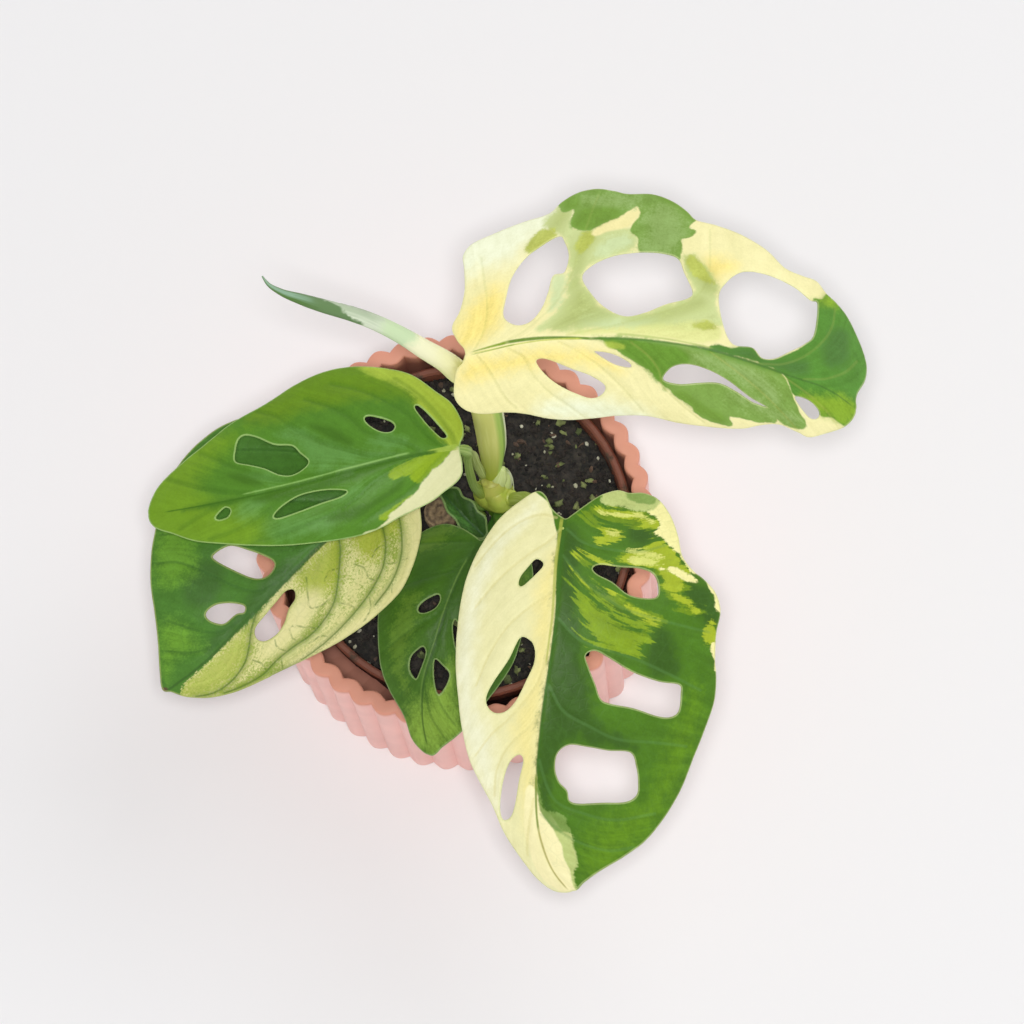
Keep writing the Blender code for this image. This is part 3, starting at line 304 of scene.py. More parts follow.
# Markings of each blade, painted one over the other: name, sRGB colour, strength, how soft its border
# is in mm, how far that border wanders, how much it runs in streaks along the side veins, how grainy it
# is, and its outlines.
MARKINGS = {
    "leaf_a": [
        ("pale", "f1f5d4", 1, 5, 2, 0, 0, [
            [(-8, 24), (0, 26), (7, 26), (11, 30), (18, 34), (22, 39), (20, 44), (-8, 44)],
            [(20, -22), (32, -19), (46, -22), (52, -26), (36, -29), (24, -26)],
        ]),
        ("sun", "f4e080", 0.9, 4, 2, 0.2, 0, [
            [(-5, 2), (3, 3), (7, 7), (8, 14), (5, 19), (1, 17), (-3, 12)],
            [(0, -2), (8, -3), (20, -3.5), (34, -5), (42, -10), (30, -8.5), (10, -8), (-2, -8)],
            [(60, 24), (64, 22), (67, 24.5), (69, 28), (65, 29), (61, 27)],
        ]),
        ("wash", "c9d492", 1, 1.1, 1.5, 0.4, 0.5, [
            [(15.5, 38.5), (19, 43), (22.8, 43), (22.6, 36), (24, 33.5), (33, 33.5), (40, 34),
             (42, 29), (40, 26), (30, 21.5), (28, 17.5), (32.5, 11), (38, 6.8), (47, 7.8),
             (57.5, 13.8), (59, 16.5), (57, 21), (54.5, 26), (56, 27.5), (58, 27.5), (61, 25.5),
             (64, 22), (66, 20), (65.5, 14), (68, 8), (60, 4.5), (50, 3.2), (30, 1.8), (18, 2.6),
             (21, 6), (24, 11), (24.5, 18), (23.7, 23), (22.5, 29), (20, 32), (16, 35)],
        ]),
        ("low_wash", "d9de8e", 0.8, 1, 1, 0.3, 0.5, [
            [(26, 0.6), (34, 2.4), (44, 3.6), (54, 5.4), (62, 8), (67, 8), (68, 4), (60, 1),
             (40, 0.4)],
        ]),
        ("pale_wash", "cbdaa4", 0.9, 1.5, 1.5, 0.4, 0.5, [
            [(29, 4), (31, 7), (35, 7), (42, 4.8), (50, 7), (46, 4.2), (36, 2.6)],
            [(20, 9), (20.5, 18), (23, 19), (24, 14), (22.5, 9)],
            [(30, 24), (33, 29.5), (38, 31.5), (41, 29), (36, 26)],
        ]),
        ("shade", "abb76a", 0.75, 2.8, 2, 0.8, 1.2, [
            [(22, 2.5), (25, 8), (27, 14), (30, 13), (34, 9), (38, 6.3), (34, 4), (28, 2.6)],
            [(25, 14), (26, 20), (24.6, 26), (26, 31), (29, 33), (29.8, 30), (28, 25), (27, 19),
             (28, 15)],
            [(42, 5.2), (48, 7.4), (56, 12), (61, 15.5), (63, 13), (57, 8.6), (50, 5.6)],
            [(55, 26.5), (58, 27.5), (62, 25), (65, 21), (66, 18), (62, 17), (60, 19), (57, 22)],
            [(17, 36), (20, 42), (22, 42), (21, 37), (19, 34)],
        ]),
        ("olive", "b3bc55", 0.95, 0.7, 0.9, 0.2, 0.8, [
            [(10.8, 29.5), (12, 32), (14.5, 34.7), (18.3, 34.2), (19, 31.5), (16, 29),
             (14, 27.5), (12, 28)],
            [(25, 27.5), (25.6, 31), (27, 33), (30, 32), (29.4, 29), (28, 26.5), (26.5, 25.5)],
            [(55.5, 25.5), (56.6, 27.6), (58.5, 27.3), (61.5, 24.5), (63.2, 22), (65.5, 20.8),
             (62, 20), (59, 21.5)],
            [(60, 6.4), (64, 8.3), (67, 7.5), (66, 6), (62, 5.4)],
        ]),
        ("butter", "f1e7a6", 1, 0.5, 0.5, 0, 0, [
            [(28.8, 32.4), (31, 35), (35, 38), (38.4, 41), (40.4, 42.3), (41.2, 39.5),
             (40.4, 36), (37.5, 34), (33, 32.6), (30, 31)],
        ]),
        ("green", "7da048", 1, 0.3, 0.5, 0.15, 0, [
            [(18.3, 43), (19.5, 40.4), (21, 40), (22.9, 40.8), (22.6, 37), (23, 35), (25, 33.6),
             (28.5, 33.4), (31, 35), (33, 36.2), (35, 37.5), (37, 39.3), (38.5, 41),
             (40.2, 42.3), (41.2, 40), (41, 37.5), (39.5, 34.8), (39.6, 32.5), (41.8, 31),
             (42, 28), (43.5, 26), (50, 26), (53.5, 25), (54.2, 28), (54.2, 31), (53.4, 32.5),
             (55.5, 33.3), (57.3, 35.5), (57, 36.6), (55.2, 36.6), (55.6, 38.5), (57, 41),
             (55, 46), (45, 52), (25, 52), (16, 46)],
            [(33, -0.9), (36, -1.2), (39, -3.6), (41, -4.7), (44, -6.5), (47.5, -8.5),
             (50, -9.5), (53, -13), (56, -14.7), (58, -16.5), (62, -18), (63, -20), (67, -21.8),
             (71, -22), (74, -20.8), (72.8, -18.3), (76, -17.5), (82, -16.7), (86, -15),
             (85.5, -13.8), (88, -15), (92.5, -15), (94.2, -12.5), (92.5, -10), (90.3, -6),
             (88.3, -2.5), (86, 0.2), (82, 0.8), (60, 0.2), (45, -0.3)],
        ]),
        ("sage", "94ae68", 0.6, 2.5, 3, 1.2, 3, [
            [(42, 27), (44, 33), (43, 39), (47, 44), (52, 41), (54, 34), (51, 27)],
            [(60, -2), (66, -1.4), (76, -1.6), (84, -4), (86, -9), (80, -7.5), (70, -4.6),
             (62, -4.4)],
            [(72, -12), (80, -13), (90, -14), (92, -11), (84, -10.6), (74, -10.4)],
            [(24, 44), (32, 46), (40, 45), (40, 42.6), (30, 42)],
        ]),
        ("mid_green", "719636", 0.9, 1.2, 1, 0.3, 0.8, [
            [(23, 36), (25, 34), (28.5, 33.8), (33, 36.5), (36, 39), (34, 41), (26, 41)],
            [(19.5, 44), (21, 41), (24, 42), (23, 46)],
            [(57, -15.5), (62, -18.5), (64, -20), (70, -21.5), (72, -19), (66, -17), (60, -14)],
            [(46, 45.5), (52, 43), (56, 40), (55, 44), (48, 47.5)],
        ]),
        ("leaf_green", "67922f", 1, 1.1, 1, 0.4, 0.6, [
            [(33, -0.6), (38, -2), (42, -4.8), (47.5, -8.5), (53, -13), (54.5, -14.5),
             (54.6, -11), (57, -7), (60, -5), (60, -2), (52, -0.2), (42, 0)],
            [(60, -0.4), (70, -0.6), (80, -0.3), (86, 0), (80, 1), (64, 0.6)],
        ]),
        ("spot", "a6bb46", 0.9, 0.5, 0.5, 0, 0, [
            [(36.5, -2), (39, -3.8), (42, -3.6), (42.5, -2.3), (39, -1.8)],
        ]),
        ("tip", "568a30", 1, 0.3, 0.4, 0.1, 0, [
            [(91.5, 25.5), (94, 26.8), (95.3, 29.8), (98, 28.5), (104, 27), (112, 18), (111, 0),
             (106.5, -6.5), (101, -7.2), (98.5, -8.2), (97, -8), (90, -5), (88.3, -2.5),
             (86, 0.2), (80, 0.8), (66, 0.5), (67, 2), (70, 2.6), (72, 2.6), (74, 4), (77, 5),
             (80, 2.4), (85, 4.7), (93, 14)],
        ]),
        ("tip_deep", "4c7633", 0.9, 1.8, 1.5, 0.5, 0.5, [
            [(67, 1.6), (72, 2.2), (77, 4), (81, 2), (86, 3.6), (92, 6), (92, 2), (84, 0.8),
             (70, 0.8)],
            [(96, 9), (98, 18), (102, 20), (103, 12), (99, 7)],
        ]),
        ("lime", "88aa2c", 0.9, 2, 1.5, 0.3, 1, [
            [(92, -4.6), (96, -2.5), (100, -1), (104, 1.5), (107.5, 1), (107.5, -3), (104, -7),
             (100, -7.3), (97.5, -7.8)],
            [(91.5, 25.5), (94, 26.8), (95.3, 29.8), (99, 28.2), (97, 25.5)],
        ]),
    ],
    "leaf_b": [
        ("olive", "658a1a", 1, 3, 2, 0.5, 0.6, [
            [(8, -15), (13, -18), (20, -20), (30, -21), (40, -22), (50, -21), (58, -24),
             (45, -33), (30, -36), (15, -31), (6, -24)],
        ]),
        ("tip", "6f961f", 1, 5, 2, 1, 0.8, [
            [(58, 10), (64, 3), (70, 0.5), (74, -6), (68, -13), (62, -19), (75, -20), (92, -8),
             (92, 6), (80, 12), (64, 15)],
        ]),
        # Painted highlight: paler blue-green bands over the middle of the blade, where the wax shines,
        # painted into the colour.
        ("sheen", "68984f", 0.55, 2.5, 2, 1, 0.6, [
            [(18, -1.6), (25, -2), (32, -2), (40, -3), (43, -7), (44, -12), (49, -16), (45, -17),
             (39, -13), (33, -8.5), (26, -4.6)],
            [(22, 4), (27, 6.5), (32, 8.6), (38, 9), (33, 6.6), (28, 4.6)],
            [(50, -2), (56, -3.5), (60, -6), (56, -6.5)], [(56, 1), (60, 5), (66, 5), (62, 1.4)],
            [(44, 9), (54, 9.5), (58, 11), (50, 14), (40, 14.5), (36, 11)],
            [(14, -4), (20, -8), (24, -7), (20, -3.4)],
        ]),
        ("deep", "446f1b", 1, 1.2, 1, 0.6, 0, [
            [(12, 0.3), (24, 2), (36, 3), (46, 3), (56, 2.6), (60, 0.8), (50, -0.5), (30, -0.5),
             (12, -0.2)],
            [(17, 6), (22, 8.6), (28, 10), (36, 10.4), (40, 12), (32, 13.4), (24, 11), (18, 8.6)],
            [(62, 0.8), (70, 1.2), (80, 0.6), (72, -0.4), (60, 0)],
            [(56, -2.4), (62, -4), (66, -8), (60, -6)],
            [(30, -7), (36, -12), (40, -17), (34, -14), (29, -9)],
        ]),
        ("lime", "a2b93c", 1, 1.4, 1.2, 0.5, 0, [
            [(-4, -3), (1, 0), (3, -2), (5, -5), (7, -10), (9, -14.5), (10, -18), (13, -22),
             (18, -26), (22, -30), (22, -33), (10, -27), (2, -22), (-3, -12)],
        ]),
        ("yellow_green", "8aa820", 1, 0.4, 0.6, 0.4, 0, [
            [(1.5, 0.4), (4, 3), (8, 5.5), (12, 8), (13, 8.3), (14.5, 6.8), (14.6, 5.6),
             (17, 5.4), (20, 5.2), (21, 4), (18.8, 2.6), (15, 1.4), (8, 0.6)],
            [(15, 11.2), (18, 12.6), (21.3, 15), (24, 16.3), (25.5, 14.8), (22, 13.6), (19, 12.2)],
        ]),
        ("cream", "d9d9a8", 1, 0.35, 0.5, 0, 0, [
            [(1.2, 0.3), (3.5, 2.5), (6, 4.3), (9, 6), (12, 8.6), (13.5, 10.2), (15, 11.2),
             (18, 12.6), (20.5, 14), (23, 15.2), (22.8, 16.2), (24.5, 17), (27, 17.9),
             (31, 18.4), (30, 20.5), (20, 18.5), (8, 15), (-2, 9), (-2, 1)],
        ]),
    ],
    "leaf_c": [
        ("lime", "a4b030", 0.9, 2.6, 2, 0.8, 5, [
            [(28, 1), (30, 6), (34, 10), (39, 12), (44, 11), (47, 7), (47, 2), (44, 1)],
            [(8, 3), (10, 9), (15, 14), (20, 14), (25, 15), (28, 12), (28, 6), (29, 2), (20, 1)],
        ]),
        ("mossy", "8fa03e", 0.85, 1.8, 2, 0.5, 4, [
            [(66, 15), (72, 16.6), (80, 14), (86, 11), (80, 12), (72, 14)],
            [(56, 18.6), (64, 19), (70, 17.4), (62, 17.4)],
            [(44, 14), (50, 16), (56, 16.4), (50, 13.4)],
            [(16, 14), (20, 19), (22, 18.6), (19, 13)],
        ]),
        ("net", "aab64c", 0.85, 2.2, 1.5, 0.6, 5, [
            [(64, 1.5), (68, 5), (72, 8.5), (78, 10), (86, 9.5), (92, 7), (96, 2), (80, 1)],
            [(86, 9.5), (82, 12.2), (76, 14.6), (74, 16), (90, 9), (96, 2), (92, 7)],
        ]),
        ("clear", "dfd89b", 0.85, 3, 2, 0.6, 3, [
            [(0, 4), (6, 8), (12, 16), (20, 22), (30, 25), (40, 24), (52, 21), (64, 18),
             (60, 24), (40, 30), (14, 26), (-2, 8)],
            [(44, 9), (50, 12.5), (58, 13), (66, 12), (64, 10), (52, 8.4)],
        ]),
        ("green", "4b7a2b", 1, 0.35, 0.4, 0.1, 1.2, [
            [(-4, 0.4), (10, 0.5), (30, 0.6), (45, 0.8), (60, 1.3), (66, 1.1), (80, 1.1),
             (90, 1.7), (98, 1), (98, -52), (-12, -52)],
        ]),
        ("deep", "42682b", 0.9, 2, 2, 0.6, 0, [
            [(44, 0.6), (60, 1), (72, 0.6), (80, -1), (76, -3.4), (70, -3), (58, -4), (48, -4)],
            [(60, -16), (64, -12), (70, -11), (74, -14), (72, -20), (64, -22)],
        ]),
        ("bright", "6a9a2e", 0.9, 3.5, 3, 0.7, 2, [
            [(80, -4), (86, -6), (92, -4), (93, -3), (90, -9), (84, -16), (80, -12)],
            [(66, -22), (72, -22), (76, -26), (68, -36), (58, -38), (60, -30)],
        ]),
        ("tip", "5a4634", 1, 0.3, 0.3, 0, 0, [
            [(96.2, 1), (97.6, -1.2), (95.6, -0.8), (95.3, 0.6)],
        ]),
    ],
    "leaf_d": [
        ("light", "7fa03a", 1, 4, 3, 0.6, 1.5, [
            [(34, 8.5), (44, 10), (52, 12), (58, 6), (61, 0), (56, -5), (50, -3), (46, 2)],
        ]),
        ("mottle", "5b7c26", 0.9, 2, 3, 1, 3, [
            [(-6, -10), (-2, -9), (3, -12), (4, -17), (-3, -17)],
            [(18, -9), (28, -8), (38, -7), (46, -4), (42, -8), (34, -13), (26, -14), (18, -12)],
            [(6, 8), (12, 12), (18, 18), (10, 20), (2, 16)],
        ]),
        ("deep", "3c5f20", 1, 2.5, 2, 0.6, 1, [
            [(-2, -2), (10, -3.4), (18, -1.5), (30, -1.5), (36, 0.2), (24, 2.6), (10, 3), (-2, 3)],
            [(6, -6), (12, -7), (16, -12), (10, -14), (5, -10)],
        ]),
    ],
    "leaf_e": [
        ("warm", "eee08e", 0.75, 4, 2, 0.3, 0, [
            [(8, -0.5), (18, -6), (30, -6), (44, -5), (56, -8), (70, -5), (85, -3), (92, 0.5),
             (40, 0.5), (12, 0)],
        ]),
        ("pale", "f1f1cf", 0.9, 4, 2, 0, 0, [
            [(-8, -8), (0, -18), (10, -27), (30, -32), (52, -28), (66, -20), (78, -12),
             (62, -14), (48, -22), (26, -26), (8, -20), (-2, -11)],
        ]),
        ("green", "4b7619", 1, 0.25, 0.12, 0, 0, [
            [(-6, -5.5), (-4, -4.4), (0, -3), (5, -1.3), (10, -0.8), (20, -0.5), (30, -0.1),
             (50, 0.2), (70, 0.4), (76, 0.5), (79, 2), (80, 3.8), (84, 6), (90, 8), (95, 4.5),
             (99, 1), (106, 0), (106, 56), (-15, 56), (-15, -8)],
        ]),
        ("outer", "608a16", 0.9, 5, 4, 1, 0.8, [
            [(46, 43), (56, 45), (70, 40), (82, 32), (92, 19), (98, 8), (92, 10), (84, 16),
             (80, 24), (76, 32), (68, 36), (58, 39)],
        ]),
        ("deep", "395c19", 1, 2.2, 2.5, 1, 1, [
            [(2, 0), (3, 4), (8, 6), (20, 5), (30, 7), (38, 9), (45, 12), (55, 14), (60, 11),
             (62, 7), (72, 4), (80, 4), (78, 1), (60, 0.3), (30, 0.2)],
            [(0, 19), (1, 24), (4, 26.5), (7, 24), (6.5, 20), (4, 18.5)],
            [(17, 36), (17, 42), (21, 46), (27, 47.5), (28, 44), (24, 39), (20, 36)],
            [(29, 30), (34, 35), (41, 37), (43, 32), (41, 28), (36, 27)],
            [(55, 12), (59, 22), (62, 28), (62, 20), (61, 12)],
        ]),
        ("olive", "6e8d16", 0.95, 0.8, 1.2, 2.6, 0.6, [
            [(22, 8), (25, 14), (29, 22), (31, 27), (34, 27), (38, 22), (37, 16), (32, 11),
             (28, 8)],
            [(8, 4), (12, 10), (13, 16), (12, 20), (14, 16), (13, 9), (11, 5)],
            [(-5, 7), (-5, 16), (-3, 23), (0, 27), (2, 26), (1, 20), (1, 14), (0, 8), (-2, 5)],
            [(5, 26), (8, 31), (13, 36), (18, 37), (21, 33), (17, 29), (13, 26), (12, 19),
             (9, 18), (8, 23)],
            [(13, 3), (17, 8), (21, 14), (24, 20), (27, 28), (29, 31), (29, 27), (26, 20),
             (22, 12), (18, 5), (15, 2.5)],
            [(19, 33), (22, 38), (25, 41), (24, 36), (21, 32)],
        ]),
        ("shadow", "4b6d18", 0.9, 0.8, 0.8, 1.3, 0.4, [
            [(27, 12), (29, 17), (31.5, 22), (33, 22), (32, 17), (29, 12)],
            [(23, 14), (26, 20), (28, 25), (27, 20), (24.5, 14)],
        ]),
        ("bright", "86a21e", 0.7, 0.6, 0.8, 5, 0.8, [
            [(21, 7), (24, 12), (27, 18), (30, 24), (33, 26), (36, 26), (39, 21.5), (36, 16),
             (32, 10), (28, 7.5), (24, 6)],
        ]),
        ("lime", "a0b128", 1, 0.35, 0.6, 1.7, 0.5, [
            [(8.4, 4.5), (9.8, 8), (12, 13), (12.8, 18), (12.6, 13), (11.2, 8.6), (10, 4.6)],
            [(13.2, 2.8), (16.6, 7), (19.6, 12), (21, 15), (19, 9.5), (16.2, 5), (14.6, 3)],
            [(24.6, 20), (26.6, 25), (28.6, 29), (27.2, 24.6), (25.4, 20.4)],
            [(-4.8, 9), (-3.8, 16), (-2, 23), (0, 27), (1.5, 26.5), (0, 22), (-1.5, 15), (-3, 8)],
            [(2.1, 11), (2.6, 16.8), (4.8, 17.6), (5.8, 14.6), (4.8, 11.8)],
            [(5.3, 10), (5.8, 14), (6.4, 10.5)],
            [(5, 26.5), (7, 31), (11, 35), (14, 37.5), (17, 36), (20, 33.5), (17.5, 30),
             (13.5, 28), (12.4, 24), (11.8, 19.5), (9, 18.6), (8, 22), (7, 25)],
            [(27.6, 43.6), (28, 47), (33, 47.3), (32.6, 44.6), (30, 43)],
            [(20, 34), (22, 37.5), (24.5, 40.5), (23, 36.5), (21, 33.5)],
        ]),
        ("pale_lime", "d2d673", 0.9, 0.4, 0.4, 1.2, 0.5, [
            [(7.7, 19), (8.3, 26), (9.8, 29.5), (9.8, 24), (9, 19)],
            [(10.4, 20), (10.9, 25), (11.8, 30), (11.9, 22)],
            [(2.6, 12.4), (2.9, 16.2), (4.2, 16.6), (4.4, 13.4)],
            [(-3.4, 9.3), (-2.8, 14), (-2, 19), (-1.9, 14), (-2.5, 9.3)],
            [(-2.9, 19.5), (-1.7, 24), (-0.6, 25.4), (-1.5, 20)],
        ]),
        ("cream", "efe9a2", 1, 0.3, 0.6, 0.5, 0.4, [
            [(-7, 26), (-5.5, 24.8), (-3.6, 23.2), (-2.4, 25.2), (-1.2, 27), (1, 27.4), (2, 26),
             (3.2, 26.4), (4.2, 28.8), (6, 31), (8.4, 33.8), (10.4, 36), (3, 37), (-5, 33)],
            [(12.2, 31), (12.6, 33.6), (14, 36.6), (15, 39.6), (16.4, 41), (16.6, 37.6),
             (16, 35), (14.6, 33.4), (13.6, 31)],
            [(10, 35.6), (12.2, 37), (14.2, 39.6), (16.2, 43), (20, 45.6), (24, 47), (23, 50),
             (15, 47), (10, 41)],
            [(33, 46.3), (36, 46.8), (40, 48.3), (40, 51), (33, 50)],
            [(12.6, 28.6), (13.3, 30.4), (14, 30.2), (13.6, 28.6)],
        ]),
        ("grey", "b9c57a", 1, 0.4, 0.6, 0.3, 0.5, [
            [(-11, 12), (-9.5, 20), (-8, 26), (-4.5, 25.5), (-3.6, 20), (-4.6, 15), (-6, 9.5)],
            [(84, 4), (84.3, 8), (86, 9), (88, 8), (90, 8.3), (93, 7), (95.5, 4.5), (99, 2),
             (101, 0), (92, 0)],
        ]),
        ("grey_deep", "7b984a", 0.9, 0.4, 0.6, 0.3, 0.5, [
            [(-10, 17), (-9, 24.5), (-6, 25), (-6, 20), (-7.5, 17)],
            [(72, 0.6), (77, 1.6), (79, 3), (80, 6.8), (82, 8.2), (84.3, 8.6), (84, 4),
             (81, 0.8), (76, 0)],
        ]),
        ("tip", "f2eab3", 1, 0.35, 0.5, 0, 0, [
            [(74, 0.1), (78, 0.9), (81, 1.8), (82.5, 3), (84.5, 4), (88, 4.8), (91, 4.2),
             (94, 4.3), (97, 2.5), (102, -1), (95, -5), (74, -3)],
        ]),
    ],
    "leaf_f": [
        ("light", "4d7f36", 1, 1.5, 1, 0, 1, [[(3, 1.5), (9, 3), (15, 2), (12, 0.8), (5, 0.8)]]),
    ],
}

# Ground colour of each blade. Its veins left and right of the rib: colour, strength, half width in mm,
# how far green spreads round them, and strength of the net between them. Its thickened edge: colour,
# strength, width. How mottled it is, how far it swells between its veins, and lines along its rib:
# colour, strength, first and last u, v at both, half width at both. Then freckles of green cells (the
# marking that covers them, colour, strength, and the noise level that they start at) and some finer
# veins, where they show.
FINISHES = {
    "leaf_a": {
        "ground": "f1eaae", "left": ("a9b45c", 0.16, 0.25, 0, 0.06),
        "right": ("b5b45c", 0.2, 0.25, 0, 0.05), "edge": ("e6e8b0", 0.3, 0.2), "mottle": 1.6,
        "swell": 0.35,
        "rib": [("7e9a22", 0.95, 0.6, 10, 0.5, 0.9, 0.05, 0.42),
                ("5f8420", 0.95, 10, 33, 0.9, -0.9, 0.4, 0.4),
                ("b9c24a", 0.8, 0.6, 30, 0.1, -0.9, 0.05, 0.3),
                ("7f9a22", 0.8, 0.6, 12, -0.3, -0.2, 0.05, 0.2),
                ("4f7a22", 0.85, 33, 62, -0.9, 0.2, 0.4, 0.3),
                ("a5b65e", 0.6, 40, 66, 0.7, 0.9, 0.25, 0.2),
                ("476f2c", 0.7, 62, 106, 0.4, 0.3, 0.35, 0.15)],
    },
    "leaf_b": {
        "ground": "528224", "left": ("3c6a16", 0.24, 0.5, 0, 0.1),
        "right": ("3c6a16", 0.3, 0.6, 0, 0.1), "edge": ("a2c274", 0.7, 0.22), "mottle": 1,
        "swell": 0.6,
        "rib": [("a4bd4a", 0.8, 0, 8, 0, 0, 0.9, 0.5),
                ("3c6912", 0.85, 6, 85, 0.3, 0, 0.45, 0.15),
                ("8fbb62", 0.7, 14, 62, -0.75, -1.0, 0.22, 0.15)],
    },
    "leaf_c": {
        "ground": "dad694", "left": ("4a6a20", 0.75, 0.22, 1.4, 0.1),
        "right": ("386224", 0.4, 0.3, 0, 0.3), "edge": ("b4bd74", 0.5, 0.25), "mottle": 1.4,
        "swell": 0.6,
        "freckles": [("lime", "8b9c34", 0.7, 0.42), ("clear", "77902c", 0.62, 0.43)],
        "rib": [("3d6426", 0.85, 0, 96, 0.3, 0.6, 0.7, 0.3)],
        "fine": [
            [(40, 22.5), (39.4, 20), (40.6, 17.6), (42.4, 16)],
            [(24, 17.5), (21.5, 19.6), (18, 21)], [(29, 20), (30.4, 17), (29.6, 14), (31, 11)],
            [(44, 4), (47, 8), (49, 11), (46.6, 13), (43, 13.6)],
            [(51.6, 17), (54, 14), (56.4, 11.2)], [(58, 16.6), (58.6, 13.6), (57.4, 11)],
            [(62.4, 15.6), (63.6, 12.4), (62.8, 10.4)], [(65, 16), (67, 18.8)],
            [(70.6, 15.4), (70.2, 12.6), (71.4, 10)], [(34, 21.6), (36, 24.4), (40, 25.8)],
            [(50, 22), (52, 19.6), (56, 18.6)], [(24, 21.6), (28, 25.4)],
            [(35, 9), (38, 7.6), (41, 8.6)], [(20, 13.5), (23, 12.6), (26, 13.6)],
        ],
    },
    "leaf_d": {
        "ground": "43691d", "left": ("365a1b", 0.35, 0.3, 0, 0.4),
        "right": ("3a5f20", 0.35, 0.3, 0, 0.4), "edge": ("93aa6c", 0.6, 0.22), "mottle": 1.5,
        "swell": 0.7,
        "rib": [("35561c", 0.75, -2, 58, 0, 0, 0.5, 0.2),
                ("6f8d40", 0.5, 4, 50, -0.7, -0.5, 0.2, 0.15)],
    },
    "leaf_e": {
        "ground": "ebe7b0", "left": ("5d8a48", 0.3, 0.3, 0, 0.2),
        "right": ("ddd48e", 0.4, 0.3, 0, 0), "edge": ("cfd896", 0.4, 0.2), "mottle": 1.4,
        "swell": 0.5,
        "rib": [("a8b04a", 0.75, -1, 40, -0.9, -1.0, 0.5, 0.2),
                ("3f6820", 0.85, -2, 70, 0.3, 0.4, 0.45, 0.25),
                ("748a2e", 0.9, 70, 84, 0.1, -0.3, 0.3, 0.3),
                ("a09a4a", 0.85, 84, 99, -0.3, -0.9, 0.25, 0.2)],
    },
    "leaf_f": {
        "ground": "33531d", "left": ("2a4718", 0.5, 0.3, 0, 0.4),
        "right": ("2a4718", 0.5, 0.3, 0, 0.4), "edge": ("8ba364", 0.65, 0.35), "mottle": 1.6,
        "swell": 0.5,
        "rib": [("274f20", 0.7, 0, 19, 0, 0, 0.4, 0.15)],
    },
}

# Stem and leaf stalks: rows (x, y, z, radius) that a smooth centre line runs through, bottom to top.
STEM = [(15, 6.5, 62, 4.6), (14.4, 7.6, 74, 4.8), (13.3, 8.5, 82, 5.2), (12.6, 9.2, 86.5, 4.4),
        (12.2, 9.6, 89.3, 2.4)]
SHOULDERS = [
    [(11.8, 9, 81, 4.2), (9, 9.8, 86, 3.6), (7.8, 10.6, 89.6, 1.8)],
    [(13.5, 8.6, 80, 4.6), (15.6, 8.4, 84.6, 3.3), (17.6, 7.8, 87.6, 2.1)],
    [(12.6, 9.4, 83, 4.4), (11.9, 11, 88, 4.1), (11.5, 12.4, 92, 3.1)],
]
BUD = [(12.2, 10.2, 85, 1.8), (13, 11.4, 88.5, 2.3), (14.1, 13.5, 93, 2.2), (14.9, 14.7, 96, 0.9)]
STALKS = {
    "petiole_a": [(12, 11.6, 85, 1.9), (11.8, 14.6, 93, 2.7), (12.1, 18.6, 105, 3.8),
                  (11.7, 23.4, 125, 4.3), (10.6, 27, 142, 4.3), (8, 30, 156, 2.8),
                  (8.4, 32.3, 166, 1.6)],
    "petiole_b": [(9.1, 9.1, 86, 2.2), (7, 9.4, 93, 1.5), (6, 10.4, 106, 1.4),
                  (5.8, 11.6, 124, 1.4), (5.3, 12.1, 132, 1.7), (3.7, 12.6, 137, 1.3)],
    "petiole_c": [(9.5, 7.2, 78.5, 1.6), (5.5, 6.8, 80.8, 1.5), (0, 8.6, 82.2, 1.5),
                  (-5, 10.6, 83.6, 1.5), (-8.6, 11.7, 88.5, 1.5), (-10.8, 12, 99, 1.5),
                  (-13.3, 12.2, 112.5, 1.3)],
    "petiole_d": [(13.2, 4.5, 80, 1.9), (13.6, -1.5, 86, 1.8), (11.2, -7.2, 93.5, 1.5),
                  (6.8, -10.4, 99.6, 1.2)],
    "petiole_e": [(16, 7.6, 84, 2), (19.5, 6.8, 90, 2), (22.3, 5.2, 97, 2.1),
                  (25.2, 1.2, 105, 2), (28.6, -5.6, 124, 1.8), (32, -10.9, 139, 1.6),
                  (35.2, -13, 149, 1.3)],
    "petiole_f": [(12.5, 5, 76, 1.2), (10.6, 0, 79.5, 1.2), (9.3, -3.4, 83.5, 1),
                  (8.8, -4.4, 85.3, 0.7)],
}
SPEAR = [(8.4, 28.4, 147, 3), (4.4, 30.3, 153, 3.4), (1, 31.7, 160, 3.1), (-4.3, 33.4, 167, 2.8),
         (-11.1, 36.1, 174, 2.4), (-17.6, 38.3, 179, 2.2), (-24.7, 39.9, 184, 2.1),
         (-31.5, 41, 188, 2), (-38.3, 42.2, 192, 1.6), (-43.7, 43.5, 195, 1),
         (-47, 45.2, 197, 0.6), (-48.6, 47.2, 198, 0.3)]
# Small parts at the node: a scale beside the bud and a dry one behind it, the collar at the foot of the
# tallest stalk, the split sheath on the one beside it, and roots that reach the soil.
BUD_SCALE = [(14, 9.6, 84, 2), (15.2, 11.2, 87.6, 1.8), (15.8, 13.2, 91, 1.3), (16, 14.2, 93, 0.4)]
DRY_SCALE = [(16, 14.9, 95.4, 0.3), (16.6, 13.8, 92, 0.8), (16.6, 11.6, 88, 0.9),
             (16.2, 9.9, 84.5, 0.4)]
COLLAR = [(6.8, 8.6, 85, 0.7), (7.6, 12, 88.4, 1), (10.2, 14.8, 90.2, 0.9), (13, 15, 89.4, 0.4)]
SPLIT_SHEATH = [(9.9, 11.8, 85.5, 0.8), (9.1, 12.8, 92, 1.3), (8.3, 13.4, 99, 1.5),
                (7.6, 13.9, 109, 1.4), (7.1, 14, 121, 1.2), (5.8, 12.9, 130, 0.7),
                (4.6, 12.8, 134, 0.3)]
